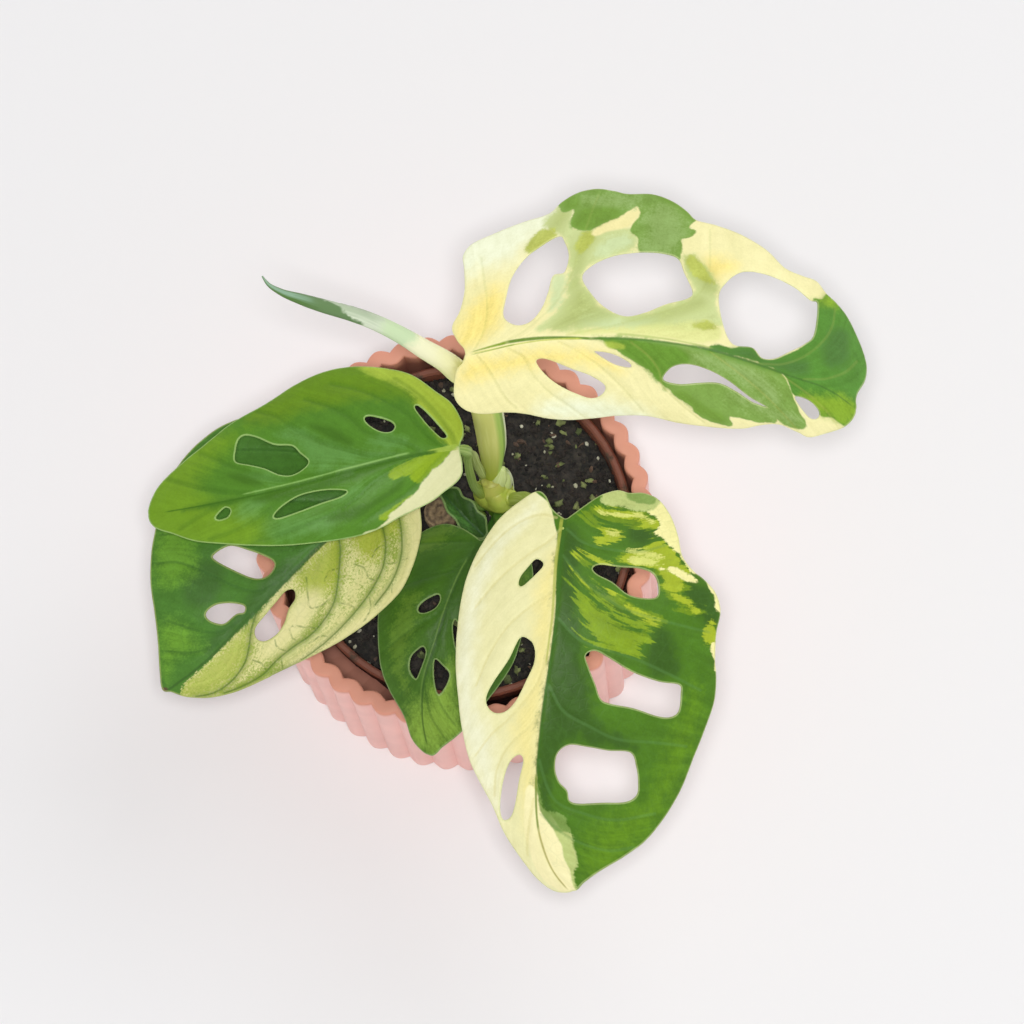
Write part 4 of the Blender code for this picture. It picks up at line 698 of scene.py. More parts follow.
ROOTS = [
    [(14.6, 2.6, 80, 1.3), (17.6, 0.4, 77, 1.2), (19.4, -1.6, 73, 1), (20, -2.4, 69, 0.8)],
    [(8.6, 5, 79, 1.2), (5.4, 2, 76, 1.1), (4.2, -0.4, 72, 1), (4, -1, 69, 0.8)],
    [(18.4, 8.6, 80, 1.2), (21.2, 9.4, 77, 1.1), (22.6, 9.4, 73, 1), (22.8, 9.2, 69, 0.9)],
]
# Axis of the stump, and its outline as rows (radius, height), with the height of the pith in the
# middle.
STUMP = [(-4.6, 6, 64), (-4.2, 5.2, 79)]
STUMP_PROFILE = [(4.9, 64), (5, 68), (5.05, 72), (4.95, 75), (5, 77.6), (4.85, 78.5),
                 (4.5, 78.9), (4, 78.8), (3.4, 79), (2.8, 78.75), (2.2, 78.9), (1.6, 78.5),
                 (1, 78.3), (0.5, 77.9)]
PITH_HEIGHT = 77.7


def paint(code):
    """Linear colour of an sRGB hex value."""
    parts = [int(code[i:i + 2], 16) / 255 for i in (0, 2, 4)]
    return tuple(p / 12.92 if p <= 0.04045 else ((p + 0.055) / 1.055) ** 2.4 for p in parts) + (1.0,)


def feed(tree, node, inputs):
    """Sets or links a node's inputs by name or number."""
    for key, value in inputs.items():
        if isinstance(value, bpy.types.NodeSocket):
            tree.links.new(value, node.inputs[key])
        else:
            node.inputs[key].default_value = value


def add(tree, kind, inputs=None, **settings):
    """Adds one node with its settings and inputs. Returns its outputs."""
    made = tree.nodes.new(kind)
    for key, value in settings.items():
        setattr(made, key, value)
    feed(tree, made, inputs or {})
    return made.outputs


class Finish:
    """A material in the making, with short forms of the nodes that the finishes share."""

    def __init__(self, name):
        self.made = bpy.data.materials.new(name)
        self.made.use_nodes = True
        self.tree = self.made.node_tree

    def node(self, kind, inputs=None, **settings):
        return add(self.tree, kind, inputs, **settings)

    def read(self, label, output="Fac"):
        """What the mesh keeps at each point under this label."""
        return self.node("ShaderNodeAttribute", attribute_name=label)[output]

    def spot(self):
        """Place in the piece's own space, in metres."""
        return self.node("ShaderNodeTexCoord")["Object"]

    def split(self, vector):
        return self.node("ShaderNodeSeparateXYZ", {0: vector})

    def times(self, vector, factors):
        return self.node("ShaderNodeVectorMath", {0: vector, 1: factors}, operation="MULTIPLY")[0]

    def noise(self, vector, scale, detail=2.0, roughness=0.5, output=0):
        inputs = {"Vector": vector, "Scale": scale, "Detail": detail, "Roughness": roughness}
        return self.node("ShaderNodeTexNoise", inputs)[output]

    def maths(self, operation, *values):
        return self.node("ShaderNodeMath", dict(enumerate(values)), operation=operation)[0]

    def moved(self, value, by, amount):
        """The value with this much of another one added."""
        return self.maths("MULTIPLY_ADD", by, amount, value)

    def ramp(self, value, start, end, low=0.0, high=1.0, kind="SMOOTHSTEP"):
        """Goes from low to high as the value goes from start to end."""
        inputs = {0: value, 1: start, 2: end, 3: low, 4: high}
        return self.node("ShaderNodeMapRange", inputs, interpolation_type=kind)[0]

    def mix(self, factor, below, above, blend="MIX"):
        """This share of the colour above over the one below. Either may be a hex value."""
        below, above = (paint(c) if isinstance(c, str) else c for c in (below, above))
        inputs = {0: factor, 6: below, 7: above}
        return self.node("ShaderNodeMix", inputs, data_type="RGBA", blend_type=blend)[2]

    def done(self, colour, roughness, relief=None, shine=None):
        """The material with its colour, roughness, shine and relief: height, strength, depth in m."""
        inputs = {"Base Color": colour, "Roughness": roughness, **(shine or {})}
        if relief:
            bump = dict(zip(("Height", "Strength", "Distance"), relief))
            inputs["Normal"] = self.node("ShaderNodeBump", bump)[0]
        feed(self.tree, self.tree.nodes["Principled BSDF"], inputs)
        return self.made


def in_scene(name, data):
    """Object of this mesh, lamp or camera."""
    made = bpy.data.objects.new(name, data)
    bpy.context.scene.collection.objects.link(made)
    return made


def piece(name, mesh, finish, node=None):
    """One finished piece of the plant, riding on its only body."""
    made = in_scene(name, mesh)
    if finish:
        mesh.materials.clear()
        mesh.materials.append(finish)
    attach(made, "root")
    if node:
        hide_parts(node)
    return made


def smooth_mesh(name, points, faces):
    """Smooth-shaded mesh of points in mm."""
    mesh = bpy.data.meshes.new(name)
    mesh.from_pydata((np.array(points) * MM).tolist(), [], faces)
    mesh.shade_smooth()
    return mesh


def store(mesh, label, values):
    """Keeps a value or a vector for each point, which the finish reads."""
    wide = values.ndim > 1
    stored = mesh.attributes.new(label, "FLOAT_VECTOR" if wide else "FLOAT", "POINT")
    stored.data.foreach_set("vector" if wide else "value", values.astype(np.float32).ravel())


def mesh_of(shape, name):
    """Mesh of a finished bmesh shape."""
    mesh = bpy.data.meshes.new(name)
    shape.to_mesh(mesh)
    shape.free()
    return mesh


def along(rows, at):
    """Smooth curve through rows (position, values...), read at these positions.

    It runs on straight beyond both ends."""
    rows = np.array(rows, float)
    x, y = rows[:, 0], rows[:, 1:]
    slope = np.gradient(y, x, axis=0)
    at = np.asarray(at, float)
    i = np.clip(np.searchsorted(x, at) - 1, 0, len(x) - 2)
    span = (x[i + 1] - x[i])[..., None]
    t = np.clip((at - x[i]) / (x[i + 1] - x[i]), 0, 1)[..., None]
    middle = ((2 * t**3 - 3 * t**2 + 1) * y[i] + (t**3 - 2 * t**2 + t) * span * slope[i]
              + (3 * t**2 - 2 * t**3) * y[i + 1] + (t**3 - t**2) * span * slope[i + 1])
    before = np.minimum(at - x[0], 0)[..., None] * slope[0]
    after = np.maximum(at - x[-1], 0)[..., None] * slope[-1]
    return middle + before + after


def run_of(points):
    """Distance along a line of points, at each of them."""
    return np.concatenate([[0], np.cumsum(np.linalg.norm(np.diff(points, axis=0), axis=1))])


def closed(ring):
    """Ring of points with the first one once more at its end."""
    return np.vstack([ring, ring[:1]])


def leaf_point(leaf, u, v):
    """World point in mm of the blade's upper face at u along the leaf and v across it."""
    u, v = np.broadcast_arrays(np.asarray(u, float), np.asarray(v, float))
    rib = along(np.array(leaf["rib"], float) * leaf["size"], u)
    turn = np.radians(leaf["heading"])
    forward = np.array([np.cos(turn), np.sin(turn), 0])
    side = np.array([-np.sin(turn), np.cos(turn), 0])
    up = np.array([0, 0, 1.0])
    k = np.clip(u / (leaf["rib"][-1][0] * leaf["size"]), 0, 1)
    half = np.where(v[..., None] >= 0, leaf["left"], leaf["right"])
    fold = np.radians(half[..., 0] + (half[..., 2] - half[..., 0]) * k)
    curl = np.radians(half[..., 1] + (half[..., 3] - half[..., 1]) * k)
    width = np.abs(v)
    across = np.sign(v) * (np.sin(fold + curl * width) - np.sin(fold)) / curl
    rise = (np.cos(fold) - np.cos(fold + curl * width)) / curl
    return (np.array(leaf["base"]) + u[..., None] * forward
            + (rib[..., :1] + across[..., None]) * side + (rib[..., 1:] + rise[..., None]) * up)


def smooth_line(points, spacing, ring=False):
    """Even points along the smooth curve through these ones. A ring starts at its furthest point."""
    p = np.array(points, float)
    if ring:
        p = np.roll(p, -int(np.argmax(p[:, 0])), axis=0)
        p = np.vstack([p[-1:], p, p[:2]])
    else:
        p = np.vstack([2 * p[:1] - p[1:2], p, 2 * p[-1:] - p[-2:-1]])
    t = np.linspace(0, 1, CURVE_STEPS, endpoint=False)[:, None]
    dense = [0.5 * (2 * b + (c - a) * t + (2 * a - 5 * b + 4 * c - d) * t**2
                    + (3 * b - a - 3 * c + d) * t**3)
             for a, b, c, d in zip(p, p[1:], p[2:], p[3:])]
    dense = np.vstack(dense + [p[-2:-1]])
    run = run_of(dense)
    count = max(6 if ring else 2, round(run[-1] / spacing))
    at = np.arange(count + (not ring)) * run[-1] / count
    return np.column_stack([np.interp(at, run, dense[:, axis]) for axis in (0, 1)])


def inside(points, ring):
    """Which points lie inside this ring."""
    x, y = points[:, 0], points[:, 1]
    found = np.zeros(len(points), bool)
    for (x0, y0), (x1, y1) in zip(ring, np.roll(ring, -1, axis=0)):
        if y0 != y1:
            found ^= ((y0 > y) != (y1 > y)) & (x < (x1 - x0) * (y - y0) / (y1 - y0) + x0)
    return found


def gap_to(points, line):
    """Distance of each point from a line of points."""
    best = np.full(len(points), np.inf)
    for a, b in zip(line, line[1:]):
        along_it = b - a
        t = np.clip((points - a) @ along_it / (along_it @ along_it), 0, 1)
        best = np.minimum(best, np.linalg.norm(points - a - t[:, None] * along_it, axis=1))
    return best


def depth_in(points, ring):
    """Distance of each point from a ring, positive inside it."""
    gap = gap_to(points, closed(ring))
    return np.where(inside(points, ring), gap, -gap)


def lane_of(points, veins, side):
    """Place of each point among the side veins of one half: one lane from each vein to the next."""
    lines = []
    for line in veins:
        if line[0][1] * side > 0 and abs(line[0][1]) < VEIN_START:
            line = smooth_line(line, 1.0)
            end = line[-1] - line[-4]
            lines.append(np.vstack([line, line[-1] + end / np.linalg.norm(end) * BEYOND_VEIN]))
    gaps = []
    for line in lines:
        middle = (line[:-1] + line[1:]) / 2
        nearest = np.argmin(np.linalg.norm(points[:, None] - middle[None], axis=2), axis=1)
        ahead = line[nearest + 1] - line[nearest]
        off = points - line[nearest]
        cross = off[:, 0] * ahead[:, 1] - off[:, 1] * ahead[:, 0]
        gaps.append(cross / np.linalg.norm(ahead, axis=1) * side)
    place = gaps[0] / LANE
    for i in range(len(gaps) - 1):
        between = i + gaps[i] / np.maximum(gaps[i] - gaps[i + 1], 0.5)
        place = np.where(gaps[i] > 0, np.minimum(between, i + 1), place)
    return np.where(gaps[-1] > 0, len(gaps) - 1 + gaps[-1] / LANE, place) * LANE


def near(points, others, room):
    """Which points have one of the others closer than this."""
    tree = kdtree.KDTree(len(others))
    for i, p in enumerate(others):
        tree.insert((*p, 0), i)
    tree.balance()
    return np.array([tree.find((*p, 0))[2] < room for p in points])


def staggered(low, high, step):
    """Points of even triangles that fill the box between these corners."""
    columns = np.arange(low[0], high[0], step)
    return np.vstack([np.column_stack([columns + 0.5 * step * (i % 2), np.full(len(columns), y)])
                      for i, y in enumerate(np.arange(low[1], high[1], step * ROW_SPACING))])


def triangles(flat, links, kept):
    """Points and triangles of a constrained Delaunay mesh. kept is its output type: 0 all, 1 inside."""
    found = geometry.delaunay_2d_cdt([Vector(p) for p in flat], links, [], kept, 1e-6)
    return np.array([tuple(p) for p in found[0]]), np.array([tuple(face) for face in found[2]])


def flat_blade(leaf, veins):
    """Even triangles over the blade, laid flat, with points along its edge, holes, rib and veins."""
    size = leaf["size"]
    rings = [smooth_line(ring, LEAF_STEP * 0.8 / size, True) * size
             for ring in [leaf["edge"]] + leaf["holes"]]
    points, links, start = [np.vstack(rings)], [], 0
    for ring in rings:
        links += [(start + i, start + (i + 1) % len(ring)) for i in range(len(ring))]
        start += len(ring)

    def on_blade(p):
        keep = inside(p, rings[0])
        for hole in rings[1:]:
            keep &= ~inside(p, hole)
        return keep

    rib = np.arange(-RIB_FOOT, leaf["rib"][-1][0] * size + 2, LEAF_STEP)
    lines = [np.column_stack([rib, np.zeros(len(rib))])]
    lines += [smooth_line(line, LEAF_STEP / size) * size for line in veins]
    for line in lines:
        keep = on_blade(line) & ~near(line, np.vstack(points), LEAF_STEP * 0.45)
        kept = np.cumsum(keep) - 1 + start
        links += [(kept[i], kept[i + 1]) for i in range(len(line) - 1) if keep[i] and keep[i + 1]]
        points.append(line[keep])
        start += int(keep.sum())
    fixed = np.vstack(points)
    grid = staggered(rings[0].min(axis=0), rings[0].max(axis=0), LEAF_STEP)
    grid = grid[on_blade(grid)]
    grid = grid[~near(grid, fixed, LEAF_STEP * 0.6)]
    flat, faces = triangles(np.vstack([fixed, grid]), links, 0)
    faces = faces[on_blade(flat[faces].mean(axis=1))]
    a, b, c = (flat[faces[:, i]] for i in range(3))
    ab, ac = b - a, c - a
    turned = ab[:, 0] * ac[:, 1] - ab[:, 1] * ac[:, 0] < 0
    faces[turned] = faces[turned][:, ::-1]
    used = np.unique(faces)
    place = np.full(len(flat), -1)
    place[used] = np.arange(len(used))
    return flat[used], place[faces], rings


def bell(distance, width):
    """1 on a line, falling to nothing over about twice this width."""
    return np.exp(-(distance / width) ** 2)


def leaf_blade(name, leaf):
    """Blade with raised cushions between its sunken veins, a rib under it, and a rounded edge."""
    size = leaf["size"]
    veins = VEINS[name]
    flat, faces, rings = flat_blade(leaf, veins)
    own = flat / size
    u, v = flat[:, 0], flat[:, 1]
    top = leaf_point(leaf, u, v)
    step = 0.2
    outwards = np.where(v >= 0, 1, -1)
    by_u = leaf_point(leaf, u + step, v) - leaf_point(leaf, u - step, v)
    by_v = (leaf_point(leaf, u, v + step * outwards) - top) * outwards[:, None]
    normal = np.cross(by_u, by_v)
    normal /= np.linalg.norm(normal, axis=1)[:, None]

    edge = np.min([gap_to(flat, closed(ring)) for ring in rings], axis=0)
    vein = np.min([gap_to(flat, smooth_line(line, 1.0 / size) * size) for line in veins], axis=0)
    rib = np.abs(v)
    length = leaf["rib"][-1][0] * size
    small = min(1.0, length / FULL_LENGTH)
    waves = np.array([noise.noise(Vector((*(p / WAVE_LENGTH), length))) for p in own])
    dents = np.array([noise.noise(Vector((*(p / DENT_LENGTH), 3.0))) for p in own])
    inwards = np.clip(edge / EDGE_REACH, 0, 1)
    cushion = 1 - np.exp(-np.minimum(vein, rib) / CUSHION_REACH)
    relief = FINISHES[name]["swell"] * small * cushion * (0.3 + 0.7 * inwards)
    relief += WAVE_HEIGHT * small * waves + DENT_HEIGHT * dents
    relief -= VEIN_GROOVE * bell(vein, VEIN_GROOVE_WIDTH)
    relief -= RIB_GROOVE * small * bell(rib, RIB_GROOVE_WIDTH)
    taper = np.clip(1 - u / length, 0, 1)
    under = RIB_HEIGHT * small * taper * bell(rib, RIB_WIDTH)
    under += VEIN_HEIGHT * bell(vein, VEIN_WIDTH) * inwards
    upper = top + normal * relief[:, None]
    lower = top + normal * (relief - BLADE_THICKNESS - under)[:, None]

    ways = faces[:, [0, 1, 1, 2, 2, 0]].reshape(-1, 2)
    _, index, count = np.unique(np.sort(ways, axis=1), axis=0, return_inverse=True,
                                return_counts=True)
    rim = ways[count[index.reshape(-1)] == 1]
    outward = np.zeros((len(flat), 2))
    for a, b in rim:
        d = flat[b] - flat[a]
        outward[a] += (d[1], -d[0])
        outward[b] += (d[1], -d[0])
    rim_points = np.unique(rim)
    away = outward[rim_points]
    away /= np.linalg.norm(away, axis=1)[:, None] + 1e-9
    away = by_u[rim_points] / (2 * step) * away[:, :1] + by_v[rim_points] / step * away[:, 1:]
    middle = (upper[rim_points] + lower[rim_points]) / 2 + ROUNDED_EDGE * away
    total = len(flat)
    ring_place = np.full(total, -1)
    ring_place[rim_points] = np.arange(len(rim_points)) + 2 * total
    sides = []
    for a, b in rim:
        sides.append((b, a, ring_place[a], ring_place[b]))
        sides.append((ring_place[b], ring_place[a], a + total, b + total))
    mesh = smooth_mesh(name, np.vstack([upper, lower, middle]),
                       faces.tolist() + (faces[:, ::-1] + total).tolist() + sides)

    def keep(label, values):
        store(mesh, label, np.concatenate([values, values, values[rim_points]]))

    across = own[:, 1]
    lane = np.where(across >= 0, lane_of(own, veins, 1), lane_of(own, veins, -1))
    keep("flat", np.column_stack([own, np.zeros(len(own))]))
    keep("lane", np.column_stack([lane, np.abs(across), np.sign(across) * 9]))
    keep("edge", edge)
    keep("vein", vein)
    if "fine" in FINISHES[name]:
        lines = [smooth_line(line, 0.5) for line in FINISHES[name]["fine"]]
        keep("fine", np.min([gap_to(own, line) for line in lines], axis=0))
    for label, *_, outlines in MARKINGS[name]:
        keep(label, np.max([depth_in(own, smooth_line(ring, 0.8, True)) for ring in outlines], axis=0))
    return mesh


def leaf_finish(name):
    """Living leaf of an aroid: a thin waxy skin over soft green tissue. The wax gives a broad, weak
    shine, the tissue a fine mottling between the veins, and cells without green show as cream."""
    look = FINISHES[name]
    skin = Finish(name + "_living_leaf")
    read, maths, moved, ramp, mix = skin.read, skin.maths, skin.moved, skin.ramp, skin.mix
    flat = read("flat", "Vector")
    u, v, _ = skin.split(flat)
    vein_gap = read("vein")
    # Borders of the markings wander over about 4 mm. Streaks are about 1.5 mm wide, grain is half a mm.
    wander = skin.noise(flat, 0.28, 4.0, 0.6)
    streak = skin.noise(skin.times(read("lane", "Vector"), (1, 0.11, 1)), 0.75, 4.0, 0.6)
    cells = skin.noise(flat, 1.5, 3.0, 0.75)
    wander, streak, grain = (maths("SUBTRACT", value, 0.5) for value in (wander, streak, cells))
    colour = look["ground"]
    for label, code, strength, soft, wobble, streaks, grainy, _ in MARKINGS[name]:
        for above, dots, share, start in look.get("freckles", ()):
            if above == label:
                dense = maths("ADD", ramp(vein_gap, 0.3, 4.0, 0.07, -0.03), cells)
                dense = moved(dense, wander, 0.5)
                colour = mix(ramp(dense, start, start + FRECKLE_SOFTNESS, 0, share), colour, dots)
        depth = moved(read(label), wander, 3 * wobble)
        if streaks:
            depth = moved(depth, streak, 5 * streaks)
        if grainy:
            depth = moved(depth, grain, 3 * grainy)
        colour = mix(ramp(depth, -soft, soft, 0, strength), colour, code)
    # The net of fine veins has meshes of about 3 mm.
    bend = skin.noise(flat, 0.5, output=1)
    bent = skin.node("ShaderNodeVectorMath", {0: bend, 1: (1.5, 1.5, 0), 2: flat},
                     operation="MULTIPLY_ADD")[0]
    net = skin.node("ShaderNodeTexVoronoi", {"Vector": bent, "Scale": 0.34},
                    feature="DISTANCE_TO_EDGE")[0]
    is_left = ramp(v, -0.2, 0.2)
    vein = moved(vein_gap, grain, 0.5)
    for side, shown in (("left", is_left), ("right", maths("SUBTRACT", 1.0, is_left))):
        code, strength, half, spread, meshes = look[side]
        line = ramp(vein, half * 0.5, half * 2.2, 1.0, 0.0)
        if meshes:
            line = maths("MAXIMUM", line, ramp(net, 0.01, 0.08, meshes, 0.0))
        if spread:
            fuzz = moved(vein_gap, grain, 4 * spread)
            line = maths("MAXIMUM", line, ramp(fuzz, 0.1, spread, 0.55, 0.0))
        if spread and "fine" in look:
            fine = moved(read("fine"), grain, 0.6)
            line = maths("MAXIMUM", line, ramp(fine, 0.1, 0.45, 0.75, 0.0))
        colour = mix(maths("MULTIPLY", line, maths("MULTIPLY", shown, strength)), colour, code)
    for code, strength, first, last, v0, v1, half0, half1 in look["rib"]:
        middle = ramp(u, first, last, v0, v1, "LINEAR")
        half = ramp(u, first, last, half0, half1, "LINEAR")
        off = maths("SUBTRACT", maths("ABSOLUTE", maths("SUBTRACT", v, middle)), half)
        line = ramp(off, -0.2, 0.25, strength, 0.0)
        line = maths("MULTIPLY", line, ramp(u, first - 1.0, first + 1.0))
        line = maths("MULTIPLY", line, ramp(u, last - 1.0, last + 1.0, 1.0, 0.0))
        colour = mix(line, colour, code)
    code, strength, width = look["edge"]
    colour = mix(ramp(read("edge"), width * 0.6, width * 1.7, strength, 0.0), colour, code)
    # Mottling: patches of about 1 mm and 4 mm, and darker and lighter lanes along the side veins.
    shade = 1.0
    for value, amount in ((grain, 0.3), (streak, 0.35), (wander, 0.3)):
        shade = moved(shade, value, amount * look["mottle"])
    grey = skin.node("ShaderNodeCombineXYZ", {0: shade, 1: shade, 2: maths("POWER", shade, 1.6)})[0]
    blue = skin.node("ShaderNodeSeparateColor", {0: colour})[2]
    colour = mix(ramp(blue, 0.1, 0.4, 1.0, 0.4), colour, grey, "MULTIPLY")
    height = moved(cells, ramp(net, 0.0, 0.12), 0.6)
    return skin.done(colour, maths("MULTIPLY_ADD", cells, 0.14, 0.38), (height, 0.35, 0.0001),
                     WAX)


for label, leaf in LEAVES.items():
    piece(label + "_blade", leaf_blade(label, leaf), leaf_finish(label), label)


def tube_faces(rings, sides):
    """Faces of a tube of rings of points, with a fan over each end to one more point."""
    faces = []
    for i in range(rings - 1):
        for j in range(sides):
            k = (j + 1) % sides
            faces.append((i * sides + j, i * sides + k, (i + 1) * sides + k, (i + 1) * sides + j))
    first, last, end = rings * sides, rings * sides + 1, (rings - 1) * sides
    for j in range(sides):
        k = (j + 1) % sides
        faces.append((first, k, j))
        faces.append((last, end + j, end + k))
    return faces


def tube(rows, count, sides, facing=RIGHT, shape=None):
    """Tube on a smooth centre line through rows (x, y, z, radius).

    shape gives the radius for each run in mm, angle from the facing side and plain radius. Returns
    points, faces, and the run and angle of each point."""
    rows = np.array(rows, float)
    run = run_of(rows[:, :3])
    at = np.linspace(0, run[-1], count)
    line = along(np.column_stack([run, rows]), at)
    centre, radius = line[:, :3], line[:, 3]
    tangent = np.gradient(centre, axis=0)
    tangent /= np.linalg.norm(tangent, axis=1)[:, None]
    front = np.array(facing, float)
    front = front - (tangent @ front)[:, None] * tangent
    front /= np.linalg.norm(front, axis=1)[:, None]
    left = np.cross(tangent, front)
    angle = np.arange(sides) * 2 * np.pi / sides
    grid_run, grid_angle = np.meshgrid(at, angle, indexing="ij")
    wide = np.repeat(radius[:, None], sides, axis=1)
    if shape:
        wide = shape(grid_run, grid_angle, wide)
    points = (centre[:, None] + wide[..., None] * (np.cos(angle)[None, :, None] * front[:, None]
                                                  + np.sin(angle)[None, :, None] * left[:, None]))
    points = np.vstack([points.reshape(-1, 3), centre[:1], centre[-1:]])
    runs = np.concatenate([grid_run.ravel(), [0, at[-1]]])
    angles = np.concatenate([grid_angle.ravel(), [0, 0]])
    return points, tube_faces(count, sides), runs, angles


def joined(name, parts):
    """One mesh of several tubes, with where each point lies along and round its own tube."""
    faces, start = [], 0
    for p, f, _, _ in parts:
        faces += [tuple(i + start for i in face) for face in f]
        start += len(p)
    points, _, runs, angles = zip(*parts)
    runs, angles = np.concatenate(runs), np.concatenate(angles)
    mesh = smooth_mesh(name, np.vstack(points), faces)
    store(mesh, "round", np.column_stack([np.cos(angles), np.sin(angles), runs]))
    return mesh


def stalk_finish(name, ground, stripe, foot, foot_reach, relief, bands=()):
    """Leaf stalk: smooth wet-looking skin with fine length-wise strings, as on celery, so that it shows
    thin lighter and darker lines and a soft shine. Bands of colour may run along its right side."""
    skin = Finish(name)
    place = skin.read("round", "Vector")
    parts = skin.split(place)
    # Strings are about 0.5 mm apart and run the whole length.
    strings = skin.noise(skin.times(place, (3, 3, 0.04)), 1.4, 3.0)
    colour = skin.mix(skin.ramp(strings, 0.42, 0.62), ground, stripe)
    colour = skin.mix(skin.ramp(parts[2], 0.0, foot_reach, 1.0, 0.0), colour, foot)
    for axis, start, end, code in bands:
        band = skin.ramp(parts[axis], start, end, kind="LINEAR")
        band = skin.maths("MULTIPLY", band, skin.ramp(parts[0], 0.3, 0.5, kind="LINEAR"))
        colour = skin.mix(band, colour, code)
    return skin.done(colour, 0.42, (strings, relief, 0.0002), SKIN)


def round_angle(angle):
    """Angle brought to between minus and plus half a turn."""
    return np.angle(np.exp(1j * angle))


def winged(run, angle, radius):
    """Sheath: flat open face towards the plant's middle, with a thin wing along each side of it."""
    wing, other = (bell(round_angle(angle - at), 0.22) for at in (0.3, 2.9))
    middle = np.clip((run - 6) / 15, 0, 1) * np.clip((72 - run) / 12, 0, 1)
    return radius * (1 - 0.06 * (np.sin(angle) > 0)) + 0.9 * (wing + 0.6 * other) * middle


def ringed(run, angle, radius):
    """Stem node: low rings where leaves came off, and an uneven swelling towards its buds."""
    rings = sum(bell(run - at, 0.7) for at in (11, 16.5, 22))
    lobes = 0.09 * np.sin(angle + 0.6) + 0.06 * np.sin(2 * angle + 1.2 + run / 9)
    return radius * (1 + lobes * np.clip(run / 12, 0, 1)) + 0.3 * rings


def grooved(run, angle, radius):
    """Slightly angled stalk with a shallow channel along its upper side."""
    return radius * (1 + 0.04 * np.cos(3 * angle)) - 0.15 * radius * bell(round_angle(angle), 0.5)


def rolled(run, angle, radius):
    """Blade rolled round itself: its free edge runs up the roll as a long spiral step."""
    spiral = np.mod(angle - run / 22 + 0.8, 2 * np.pi)
    step = 0.28 * np.clip(radius / 2, 0, 1) * (1 - spiral / (2 * np.pi))
    return radius - 0.12 + step


def flat_as(share):
    """Cross-section of a thin skin: as wide as its radius one way, and this share of it the other."""
    def shape(run, angle, radius):
        return radius / np.sqrt(np.cos(angle) ** 2 + (np.sin(angle) / share) ** 2)
    return shape


def to_blade(label):
    """Rows of a stalk, with its end bent in under the middle rib of its blade."""
    rows, leaf = STALKS[label], LEAVES[label.replace("petiole", "leaf")]
    first, last = leaf_point(leaf, [1.0, 6.0], [0.0, 0.0]).tolist()
    return rows[:-1] + [(*first[:2], first[2] - 1.7, rows[-1][3] * 0.85),
                        (*last[:2], last[2] - 1.5, 0.6)]


def node_finish():
    """Stem node, still green: smooth skin stretched over the swelling, yellow where it meets the
    sheaths and greener below, with a paler band at the top that is a painted highlight, and thin tan
    scars where old sheaths came off."""
    skin = Finish("stem_node_skin")
    spot = skin.spot()
    # Patches of about 3 mm.
    patch = skin.noise(spot, 330.0, 3.0)
    height = skin.moved(skin.split(spot)[2], patch, 0.008)
    colour = "5a7f1e"
    # The second, paler band at the top is a painted highlight.
    for low, high, code in ((0.0845, 0.0895, "aab94a"), (0.0915, 0.0955, "bcbe5a")):
        colour = skin.mix(skin.ramp(height, low, high), colour, code)
    run = skin.moved(skin.split(skin.read("round", "Vector"))[2], patch, 3.0)
    ring = skin.maths("PINGPONG", run, 5.5)
    colour = skin.mix(skin.ramp(ring, 0.1, 0.4, 0.35, 0.0, "LINEAR"), colour, "84733c")
    return skin.done(colour, 0.42, (patch, 0.3, 0.0004), SKIN)


piece("main_stem_with_node", joined("main_stem", [tube(STEM, 70, 48, RIGHT, ringed)] + [
    tube(rows, 26, 32, RIGHT, grooved) for rows in SHOULDERS]), node_finish(), "main_stem")
piece("side_bud", joined("side_bud", [tube(BUD, 30, 28), tube(BUD_SCALE, 24, 24, RIGHT, flat_as(0.6))]),
      stalk_finish("bud_skin", "c6d388", "d0dc9a", "aac058", 6, 0.12))
piece("sheath_skins", joined("sheath_skins", [
    tube(COLLAR, 30, 16, UP, flat_as(0.25)), tube(SPLIT_SHEATH, 50, 16, RIGHT, flat_as(0.22))]),
      stalk_finish("sheath_membrane", "a9b965", "cbd596", "8a9e3c", 12, 0.2))
piece("bud_fibres", joined("bud_fibres", [tube(DRY_SCALE, 24, 12, RIGHT, flat_as(0.25))] + [
    tube([(15.7 + x, 15.2 + y, 95, 0.12), (16.8 + x, 14.2 + y, 93, 0.14),
          (17.2 + 1.3 * x, 12.2 + y, 89, 0.13), (17 + 1.7 * x, 10.4 + 1.6 * y, 84, 0.08)], 16, 6)
    for x, y in ((0, 0), (0.5, -0.6), (-0.4, 0.4))
]), stalk_finish("dry_fibre", "cfd6b0", "e6ead2", "a9b67c", 3, 0.5))
piece("young_roots", joined("young_roots", [tube(rows, 24, 16) for rows in ROOTS]),
      stalk_finish("root_skin", "8a7a4c", "a3945e", "7d9044", 3, 0.6))
for label, ground, stripe, foot in (
    ("petiole_b", "7c9748", "98ae62", "8a9c36"), ("petiole_c", "7e9a48", "94ab5c", "5c7d30"),
    ("petiole_d", "5d8a35", "769c48", "4a7428"), ("petiole_e", "a2b54c", "bac870", "9cab44"),
    ("petiole_f", "4a7a2c", "5d8a3a", "3f6d26"),
):
    piece(label + "_stalk", joined(label, [tube(to_blade(label), 60, 28, RIGHT, grooved)]),
          stalk_finish(label + "_skin", ground, stripe, foot, 10, 0.3), label)

# The tallest stalk is olive where it narrows to the node. Along its right side runs a greener wing,
# which starts about 2 mm from the edge, with a pale edge 0.4 mm wide.
piece("petiole_a_sheath", joined("petiole_a", [tube(to_blade("petiole_a"), 90, 64, RIGHT, winged)]),
      stalk_finish("sheath_skin", "d8d97c", "dedf88", "94a51e", 36, 0.15, (
          (0, 0.5, 0.75, "aece62"), (0, 0.88, 0.94, "92b456"), (1, 0.0, 0.1, "e6edc4"))),
      "petiole_a")


